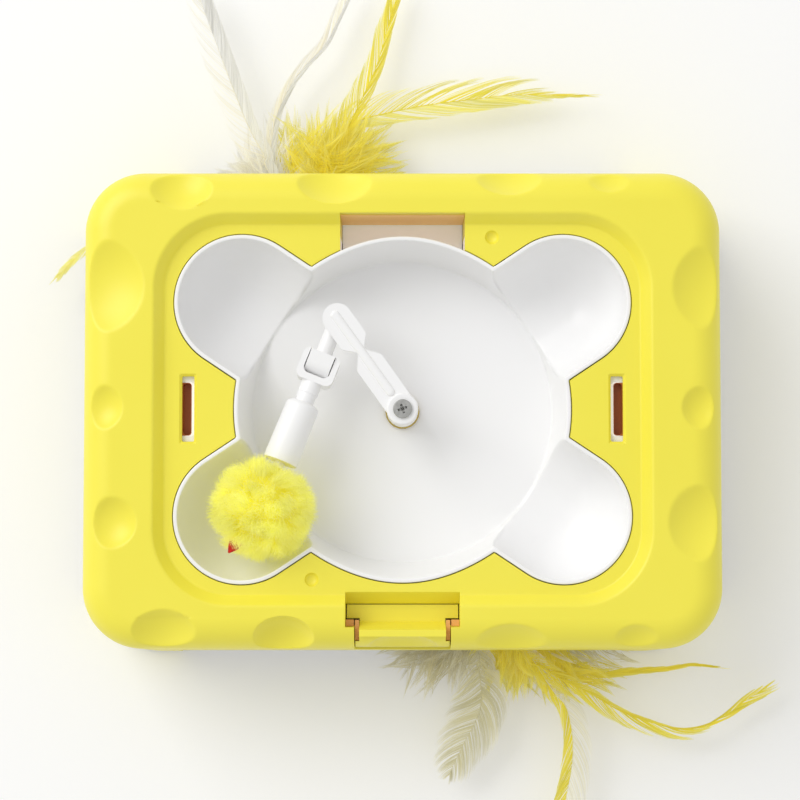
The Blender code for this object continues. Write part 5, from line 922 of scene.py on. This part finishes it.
def feather_route(bundle, slot, slots, route):
    """From the rotor's clamp under the plate, out below the wall, and on through points in mm."""
    azimuth = AZIMUTH + bundle * math.pi
    out = Vector((math.cos(azimuth), math.sin(azimuth)))
    side = Vector((-out.y, out.x))
    root = out * CLAMP_RADIUS * MM + side * SLOT_PITCH * MM * (slot - (slots - 1) / 2)
    flat = [root, root + out * 10 * MM] + [Vector(p) * MM for p in route]
    level = 17.3 * MM - 1.25 * MM * slot
    points = smooth_route(flat, 140)
    return np.array([(p.x, p.y, level - 2.6 * MM * (p.length / SWEEP) ** 2) for p in points])


def run_of(route):
    return np.concatenate(([0], np.cumsum(np.linalg.norm(np.diff(route, axis=0), axis=1))))


def spots_along(route, where):
    """Points, and level directions square to the route, at distances that may run past its tip."""
    run = run_of(route)
    ahead = np.gradient(route, axis=0)
    ahead /= np.linalg.norm(ahead, axis=1, keepdims=True)
    spot = np.stack([np.interp(where, run, route[:, k]) for k in range(3)], axis=-1)
    spot += np.maximum(where - run[-1], 0)[..., None] * ahead[-1]
    x, y = (np.interp(where, run, ahead[:, k]) for k in (0, 1))
    side = np.stack((-y, x, np.zeros_like(x)), axis=-1)
    return spot, side / np.linalg.norm(side, axis=-1, keepdims=True)


TAPER = np.array((1, 1, 1, 1, 0.95, 0.85, 0.6, 0.1))
BARB_WIDTH = (0.14, 0.24)
BARBS_PER_MM = 4.2
QUILL_ROOT, QUILL_TIP = 0.42, 0.06
# The most locks in a vane; a barb before the first or past the last has one of its own
MOST_LOCKS = 200


def make_feather(name, route, begin, vanes, seed):
    """A quill, and on each side barbs that sweep to the tip, in locks whose barbs come together."""
    rng = np.random.default_rng(seed)
    strands = Strands()
    run = run_of(route)[-1]
    span = run - begin
    share = run_of(route) / run
    quill = np.maximum(QUILL_TIP, QUILL_ROOT * (1 - share) ** 0.8) * MM
    strands.tube(route, quill, np.array(vanes[0][1]) * 0.97 + 0.02)
    t = np.linspace(0, 1, 8)[None, :]
    for side, (table, tint, tip, density, lock_length, converge) in zip((1, -1), vanes):
        marks, reaches, advances = np.array(table).T
        count = int(span / MM * density * BARBS_PER_MM)
        place = np.sort(rng.uniform(-0.05, 0.995, count))
        gaps = rng.uniform(0.5, 1.5, MOST_LOCKS) * lock_length * MM / span
        bounds = np.cumsum(np.concatenate(([-0.06], gaps)))
        lock = np.clip(np.searchsorted(bounds, place), 1, MOST_LOCKS)
        middle = bounds[lock - 1] * 0.35 + bounds[lock] * 0.65
        longer = 1 + rng.uniform(-0.14, 0.14, MOST_LOCKS + 2)[lock] * converge
        longer = longer + rng.normal(size=count) * 0.04
        reach = np.interp(place, marks, reaches) * MM * longer
        further = 1 + rng.uniform(-0.1, 0.12, MOST_LOCKS + 2)[lock] * converge
        advance = np.interp(place, marks, advances) * MM * further
        where = begin + place[:, None] * span + advance[:, None] * t
        where += (middle - place)[:, None] * span * converge * t * t
        spot, across = spots_along(route, where)
        off = reach[:, None] * (1 - (1 - t) ** 1.6)
        rise = rng.uniform(-0.5, 0.5, MOST_LOCKS + 2)[lock][:, None] * t
        rise = rise + rng.uniform(-0.12, 0.12, (count, 1)) - 0.35 * t * t
        points = spot + across * side * off[:, :, None]
        points[:, :, 2] += rise * MM
        shade = rng.uniform(0.94, 1.05, MOST_LOCKS + 2)[lock] * rng.uniform(0.93, 1.05, count)
        fade = (t * t)[:, :, None]
        tints = (np.array(tint) * (1 - fade) + np.array(tip) * fade) * shade[:, None, None]
        facing = np.array((0, 0, 1)) + rng.normal(size=(count, 3)) * 0.15
        strands.add(points, rng.uniform(*BARB_WIDTH, (count, 1)) * MM * TAPER, facing, tints)
    return strands.build(name, VANE)


HAIRS_PER_LOCK = 13
DOWN_LEVEL = 11.5
DOWN_TAPER = np.array((0.8, 1, 1, 0.9, 0.6, 0.1))


def make_down(name, rows, tint, tip, seed):
    """Fluff in spiky locks. A row is x, y, their spread, the way it points and its spread in degrees, the
    shortest and longest lock, and how many locks there are."""
    rng = np.random.default_rng(seed)
    strands = Strands()
    t = np.linspace(0, 1, 6)[None, :, None]
    for x, y, wide, deep, angle, spread, low, high, locks in rows:
        base = [rng.normal(*spot, locks) for spot in ((x, wide), (y, deep), (DOWN_LEVEL, 1.8))]
        base = np.stack(base, 1)
        base[:, 2] = np.clip(base[:, 2], DOWN_LEVEL - 4, DOWN_LEVEL + 5)
        turn = np.radians(rng.normal(angle, spread, locks))
        length = rng.uniform(low, high, locks)
        way = np.stack((np.cos(turn), np.sin(turn), rng.uniform(-0.12, 0.1, locks)), 1)
        across = np.stack((-way[:, 1], way[:, 0], np.zeros(locks)), 1)
        bow = rng.uniform(-0.22, 0.22, locks) * length
        pick = np.repeat(np.arange(locks), HAIRS_PER_LOCK)
        count = len(pick)
        fan = rng.normal(0, 1.0, (count, 1, 1)) * (0.6 + 0.07 * length[pick])[:, None, None]
        lag = rng.uniform(-0.35, 0.3, (count, 1, 1)) * length[pick][:, None, None]
        own = rng.uniform(0.8, 1.04, (count, 1, 1)) * length[pick][:, None, None]
        curl = rng.normal(0, 0.35, (count, 1, 3))
        points = base[pick][:, None, :] + way[pick][:, None, :] * (lag * (1 - t) + own * t)
        aside = fan * (1 - t) ** 1.3 + bow[pick][:, None, None] * t * t
        points = points + across[pick][:, None, :] * aside
        points = points + curl * t * (1.3 - t)
        shade = (rng.uniform(0.9, 1.05, locks)[pick] * rng.uniform(0.92, 1.05, count))[:, None, None]
        tints = (np.array(tint) * (1 - t) + np.array(tip) * t) * shade
        facing = np.array((0, 0, 1)) + rng.normal(size=(count, 3)) * 0.25
        strands.add(points * MM, rng.uniform(*HAIR_WIDTH, (count, 1)) * MM * DOWN_TAPER, facing, tints)
    return strands.build(name, VANE)


ASH, CREAM, SNOW = (0.88, 0.875, 0.85), (0.95, 0.92, 0.82), (0.96, 0.955, 0.93)
GOLD, LEMON, STRAW = (0.92, 0.84, 0.11), (0.94, 0.9, 0.34), (0.94, 0.93, 0.68)
OLIVE, SAND, UMBER = (0.78, 0.75, 0.55), (0.9, 0.88, 0.76), (0.7, 0.65, 0.42)
# A feather: name, bundle, slot, slots in the bundle, points in mm, the point where barbs begin, two vanes.
# A vane: rows of share, reach and advance in mm, root and tip colours, density, a lock's length, closing.
FEATHERS = (
    ("side_feather", 0, 0, 7, (
        (-84, 63), (-104, 68.5), (-115, 67.5), (-121.6, 63.8), (-126.7, 59.8), (-129, 57.4), (-131, 55.2),
        (-132.9, 52.8)), 2,
     (((0, 1.6, 6), (0.6, 1.7, 6), (1, 0.6, 3)), LEMON, STRAW, 1.0, 5, 0.5),
     (((0, 1.4, 6), (0.6, 1.5, 6), (1, 0.6, 3)), LEMON, STRAW, 1.0, 5, 0.5)),
    ("white_feather_a", 0, 1, 7, (
        (-49, 90), (-53.5, 100.6), (-59.5, 111.6), (-66.1, 128.1), (-69.7, 137.5), (-72.3, 144.7),
        (-76.5, 156), (-80, 166)), 0,
     (((0, 8, 12), (0.3, 7.5, 16), (0.7, 6, 18), (1, 3, 10)), CREAM, SNOW, 0.22, 3, 0.4),
     (((0, 3.4, 8), (0.3, 4.4, 16), (0.7, 4.6, 18), (1, 2.5, 8)), ASH, ASH, 1.0, 16, 0.12)),
    ("white_feather_b", 0, 2, 7, (
        (-52, 89), (-51.2, 100), (-49.3, 114.6), (-43.9, 127.2), (-37.5, 136.1), (-29.9, 144.4),
        (-25, 154.4), (-19.5, 166)), 0,
     (((0, 3.4, 8), (0.3, 2.2, 14), (0.7, 3.2, 20), (1, 2.2, 8)), CREAM, SNOW, 0.4, 4, 0.5),
     (((0, 2.6, 8), (0.3, 1.6, 12), (0.7, 1.2, 14), (1, 1, 8)), ASH, ASH, 1.0, 16, 0.1)),
    ("yellow_feather_c", 0, 3, 7, (
        (-31.7, 91), (-29.8, 96.6), (-21.7, 110.9), (-15.7, 123.1), (-9.7, 136.9), (-5.9, 150.7),
        (-2.7, 161.9), (-1.2, 166.5)), 0,
     (((0, 7, 12), (0.3, 5.2, 18), (0.65, 3.6, 20), (1, 2, 8)), GOLD, LEMON, 0.55, 5, 0.6),
     (((0, 4.4, 10), (0.3, 3, 16), (0.65, 2.2, 16), (1, 1.4, 8)), GOLD, LEMON, 0.7, 8, 0.4)),
    ("yellow_feather_d", 0, 4, 7, (
        (-32.8, 92), (-32, 99.5), (-27.1, 107.8), (-19, 113.9), (-8.1, 117.2), (10.8, 121), (28.5, 123.2),
        (42.1, 124.8), (57.7, 124.7), (72.4, 124.6)), 1,
     (((0, 5, 8), (0.12, 8, 14), (0.3, 8, 26), (0.5, 6.6, 28), (0.66, 5, 20), (0.76, 1.6, 12),
       (0.86, 0.7, 8), (1, 0.35, 3)), GOLD, STRAW, 0.4, 7, 0.9),
     (((0, 2, 4), (0.12, 4, 10), (0.3, 5.2, 20), (0.5, 4.6, 24), (0.66, 3.2, 20), (0.76, 1.4, 12),
       (0.86, 0.6, 8), (1, 0.3, 3)), LEMON, LEMON, 0.55, 10, 0.4)),
    ("yellow_feather_g", 1, 0, 6, (
        (42.8, -88), (52.6, -95.9), (62.3, -101.5), (71.5, -106), (83.6, -113), (95.8, -117.3),
        (105.5, -119.6), (114.3, -118.6), (122.7, -114.5), (130.1, -109.2), (139, -103.7)), 0,
     (((0, 4, 8), (0.3, 1.4, 14), (0.55, 0.6, 12), (0.7, 0.5, 10), (0.8, 1.8, 16), (0.92, 1.2, 8),
       (1, 0.4, 3)), GOLD, LEMON, 0.5, 9, 0.4),
     (((0, 5, 8), (0.25, 4.6, 16), (0.45, 4.2, 20), (0.58, 2.6, 16), (0.68, 0.9, 10), (0.76, 2.2, 18),
       (0.88, 2.6, 14), (1, 0.6, 3)), GOLD, LEMON, 0.5, 6, 0.9)),
    ("yellow_feather_f", 1, 1, 6, (
        (47.7, -90), (57.2, -104.7), (62, -110.5), (64, -117), (64.9, -124.7), (64.4, -134.3),
        (62, -146.4), (59.4, -157), (57.2, -164)), 0,
     (((0, 4, 8), (0.25, 6.5, 14), (0.6, 8, 18), (1, 4, 8)), SAND, SNOW, 0.7, 8, 0.35),
     (((0, 3.6, 8), (0.25, 3.4, 12), (0.6, 4.2, 16), (1, 3.4, 8)), GOLD, LEMON, 1.0, 9, 0.3)),
    ("pale_feather_e", 1, 2, 6, (
        (28.3, -88), (29.3, -98), (30.2, -106.7), (29.3, -113), (26.3, -119.8), (22.4, -127.1),
        (17.6, -137.3)), 0,
     (((0, 6, 8), (0.2, 10.5, 13), (0.45, 10, 16), (0.7, 7, 14), (0.9, 3, 7), (1, 0.8, 3)),
      OLIVE, SNOW, 1.3, 4, 0.35),
     (((0, 7, 8), (0.2, 11, 12), (0.45, 10.5, 14), (0.7, 7.5, 13), (0.9, 3.6, 7), (1, 0.8, 3)),
      OLIVE, SNOW, 1.3, 4, 0.4)),
    # not a node of its own, only seen in the scene
    ("", 1, 3, 6, (
        (56, -92), (63, -98), (71.7, -99.6), (86.4, -98.1), (101.1, -97), (110.4, -95.5),
        (120.2, -96.3)), 0,
     (((0, 2.6, 8), (0.35, 1.4, 12), (0.7, 0.7, 10), (1, 0.3, 3)), GOLD, LEMON, 0.8, 6, 0.7),
     (((0, 2.6, 8), (0.35, 1.4, 12), (0.7, 0.6, 10), (1, 0.3, 3)), GOLD, LEMON, 0.8, 6, 0.7)),
)
# A tuft of down: name, seed, the node it replaces, root and tip colours, and its rows for make_down
DOWN = (
    ("rear_down", 31, "yellow_plume_rear", (0.97, 0.86, 0.06), LEMON, (
        (-32, 92, 5, 4, 84, 38, 6, 17, 190), (-34, 92, 5, 4, 108, 20, 12, 28, 60),
        (-25, 97, 5, 4, 16, 20, 10, 28, 70), (-25, 100, 4, 4, 64, 16, 8, 18, 40),
        (-17, 93, 5, 3, 12, 22, 5, 13, 26))),
    ("rear_pale_down", 33, None, CREAM, SNOW, (
        (-54, 91, 5, 4, 104, 34, 6, 17, 80), (-60, 92, 4, 3, 155, 16, 5, 12, 26),
        (-46, 92, 4, 4, 80, 18, 8, 20, 30))),
    ("front_down", 35, "yellow_plume_front", (0.94, 0.83, 0.08), LEMON, (
        (45, -87, 8, 4, -64, 32, 8, 19, 130), (43, -90, 4, 3, -96, 15, 10, 20, 40),
        (60, -97, 4, 3, -84, 15, 5, 13, 26), (66, -97, 5, 2.5, -5, 15, 8, 17, 26))),
    ("front_pale_down", 37, None, UMBER, SAND, (
        (19, -88, 7, 4, -122, 25, 7, 20, 80), (9, -88, 4, 3, -150, 14, 5, 11, 24),
        (66, -86, 10, 3, -32, 12, 6, 14, 24))),
)


def build_feathers():
    for row, (name, bundle, slot, slots, points, first, *vanes) in enumerate(FEATHERS):
        route = feather_route(bundle, slot, slots, points)
        away = np.linalg.norm(route[:, :2] - np.array(points[first]) * MM, axis=1)
        begin = run_of(route)[int(np.argmin(away))]
        made = make_feather((name or "yellow_feather_h") + "_barbs", route, begin, vanes, row + 3)
        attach(made, "spindle")
        if name:
            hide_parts(name)
    for name, seed, node, tint, tip, rows in DOWN:
        made = make_down(name, rows, tint, tip, seed)
        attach(made, "spindle")
        if node:
            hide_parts(node)


# Pieces seen through the openings: pale lips, deck and cheeks, and thin sheets of painted shade in the clip
# slots, the latch's slots and the rear notch
DECK = 38 * MM
# A clip slot's mouth, a sheet of painted shade in dark brown, lies off its middle, against the outer side
# of its pale lip
MOUTH_SHIFT = 0.55 * MM


def add_piece_or_painted_shade(made, look, body="base", bevel=0.0):
    dressed(made, look, body, bevel=bevel)


def side_box(name, sign, across, low, high):
    """A box between two distances from the middle on one side, from (y, z) to (y, z), all in mm."""
    near, far = sorted((sign * across[0], sign * across[1]))
    return box(name, mm(near, *low), mm(far, *high))


def build_pieces_and_painted_shade():
    for sign, side in ((1, "right"), (-1, "left")):
        place = Matrix.Translation((sign * SLOT_MIDDLE, 0, 0))
        mouth, room = (
            [(x + sign * MOUTH_SHIFT, y) for x, y in rounded(*mm(*size))]
            for size in ((1.62, 9.5, 1.2), (1.4, 9.25, 1.0))
        )
        lip = prism("lip_" + side, rounded(*mm(2.15, 9.75, 1.75)), 52 * MM, 62.75 * MM)
        cut(lip, prism("room", mouth, 50 * MM, 64 * MM))
        # the cup is a sheet of painted shade in dark red-brown, where the slot's inside lies in shade
        cup = prism("painted_shade_sheet_" + side, mouth, 52.2 * MM, 62.9 * MM)
        join(cup, side_box("flange", sign, (1.2, 3), (-9.5, 62.83), (9.5, 62.98)))
        cut(cup, prism("room", room, 60 * MM, 64 * MM))
        add_piece_or_painted_shade(moved(lip, place), LILAC)
        add_piece_or_painted_shade(moved(cup, place), PAINTED_SLOT_SHADE)
        # sheets of painted shade in brown in the latch's L-shaped slots, one under the panel and one on the
        # tongue
        low = side_box("latch_painted_shade_" + side, sign, (17.35, 20.3), (-77.5, 62.4), (-75.2, 63.4))
        add_piece_or_painted_shade(low, PAINTED_LATCH_SHADE, bevel=0.1 * MM)
        high = side_box("tongue_lining_" + side, sign, (15.5, 17), (-82.5, 63), (-75.3, 64))
        add_piece_or_painted_shade(high, PAINTED_LATCH_SHADE, "latch", 0.1 * MM)
    # a sheet of painted shade in brown-orange on the notch's rear wall, where the yellow wall lies in
    # shade; its material also has a painted glow
    add_piece_or_painted_shade(box("notch_painted_shade_and_glow", mm(-22.3, 69.7, 40.3), mm(22.3, 69.95, 64.9)), PAINTED_NOTCH_SHADE_AND_GLOW)
    low, high = (-22.2 * MM, 51 * MM, DECK + 0.05 * MM), (22.2 * MM, 72.2 * MM, DECK + 0.45 * MM)
    add_piece_or_painted_shade(box("deck_cover", low, high), LILAC)
    for sign in (1, -1):
        near, far = sorted((sign * 22.5 * MM, sign * 22.9 * MM))
        add_piece_or_painted_shade(box("notch_cheek", (near, 57.8 * MM, DECK + 2.3 * MM), (far, *mm(69.9, 62.9))), LILAC)


def build_toy():
    dressed(make_housing(), YELLOW, "base", ("top_housing",), 28, 0.35 * MM)
    dressed(make_tongue(), YELLOW, "latch", ("latch_tongue",), 28, 0.3 * MM)
    dressed(make_bowl(), WHITE, "base", ("play_bowl",), 60)
    dressed(make_crank(), WHITE, "spindle", ("crank_arm",), 30, 0.35 * MM, 3)
    dressed(make_hub_screw(), SCREW, "spindle", ("crank_screw",), 30, 0.08 * MM)
    dressed(make_link(), WHITE, "link", ("swivel_link",), 30, 0.4 * MM, 3)
    dressed(make_yoke(), WHITE, "rod", ("rod_yoke",), 30, 0.45 * MM, 3)
    dressed(make_rod(), WHITE, "rod", ("rod_tube",), 40)
    fibres, core = make_pompom()
    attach(fibres, "rod")
    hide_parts("pompom")
    dressed(core, FUR, "rod", (), 180)
    dressed(make_beak(), RED, "rod", ("beak",), 60)
    build_feathers()
    build_pieces_and_painted_shade()


# The camera looks down on the toy, tilted a little to the front
CAMERA_PLACE = mm(-0.9, -33.5, 765)
CAMERA_TILT = math.radians(3)
CAMERA_LENS = 88.1
FLOOR_HALF = 3.0
# What the floor gives to camera and glossy rays above its own colour, which brings it to white
FLOOR_LIFT = 0.12
WORLD_STRENGTH = 0.7
LAMP_PLACE, LAMP_SIZE, LAMP_ENERGY = (-1.6, 1.28, 1.76), 1.9, 35


def build_studio():
    scene = bpy.context.scene
    eye = bpy.data.cameras.new("camera")
    eye.sensor_width = 36
    eye.lens = CAMERA_LENS
    eye.clip_end = 20
    camera = bpy.data.objects.new("camera", eye)
    camera.location = CAMERA_PLACE
    camera.rotation_euler = (CAMERA_TILT, 0, 0)
    scene.collection.objects.link(camera)
    scene.camera = camera
    corners = [(x * FLOOR_HALF, y * FLOOR_HALF, 0) for x, y in ((-1, -1), (1, -1), (1, 1), (-1, 1))]
    floor = mesh_object("floor", corners, [(0, 1, 2, 3)])
    made, tree, shader = new_material("floor", (0.87, 0.87, 0.87), 0.9, 0.1)
    seen = tree.nodes.new("ShaderNodeLightPath")
    both = tree.nodes.new("ShaderNodeMath")
    both.operation = "MAXIMUM"
    tree.links.new(seen.outputs["Is Camera Ray"], both.inputs[0])
    tree.links.new(seen.outputs["Is Glossy Ray"], both.inputs[1])
    lift = tree.nodes.new("ShaderNodeMath")
    lift.operation = "MULTIPLY"
    tree.links.new(both.outputs["Value"], lift.inputs[0])
    fill(lift, {1: FLOOR_LIFT})
    fill(shader, {"Emission Color": (1, 1, 1, 1)})
    tree.links.new(lift.outputs["Value"], shader.inputs["Emission Strength"])
    floor.data.materials.append(made)
    world = bpy.data.worlds.new("studio")
    world.use_nodes = True
    fill(world.node_tree.nodes["Background"], {"Color": (1, 1, 1, 1), "Strength": WORLD_STRENGTH})
    scene.world = world
    lamp = bpy.data.lights.new("key", "AREA")
    lamp.size = LAMP_SIZE
    lamp.energy = LAMP_ENERGY
    holder = bpy.data.objects.new("key", lamp)
    holder.location = LAMP_PLACE
    holder.rotation_euler = (-Vector(LAMP_PLACE)).to_track_quat("-Z", "Y").to_euler()
    scene.collection.objects.link(holder)
    scene.view_settings.view_transform = "Standard"


build_toy()
build_studio()
bpy.context.view_layer.update()
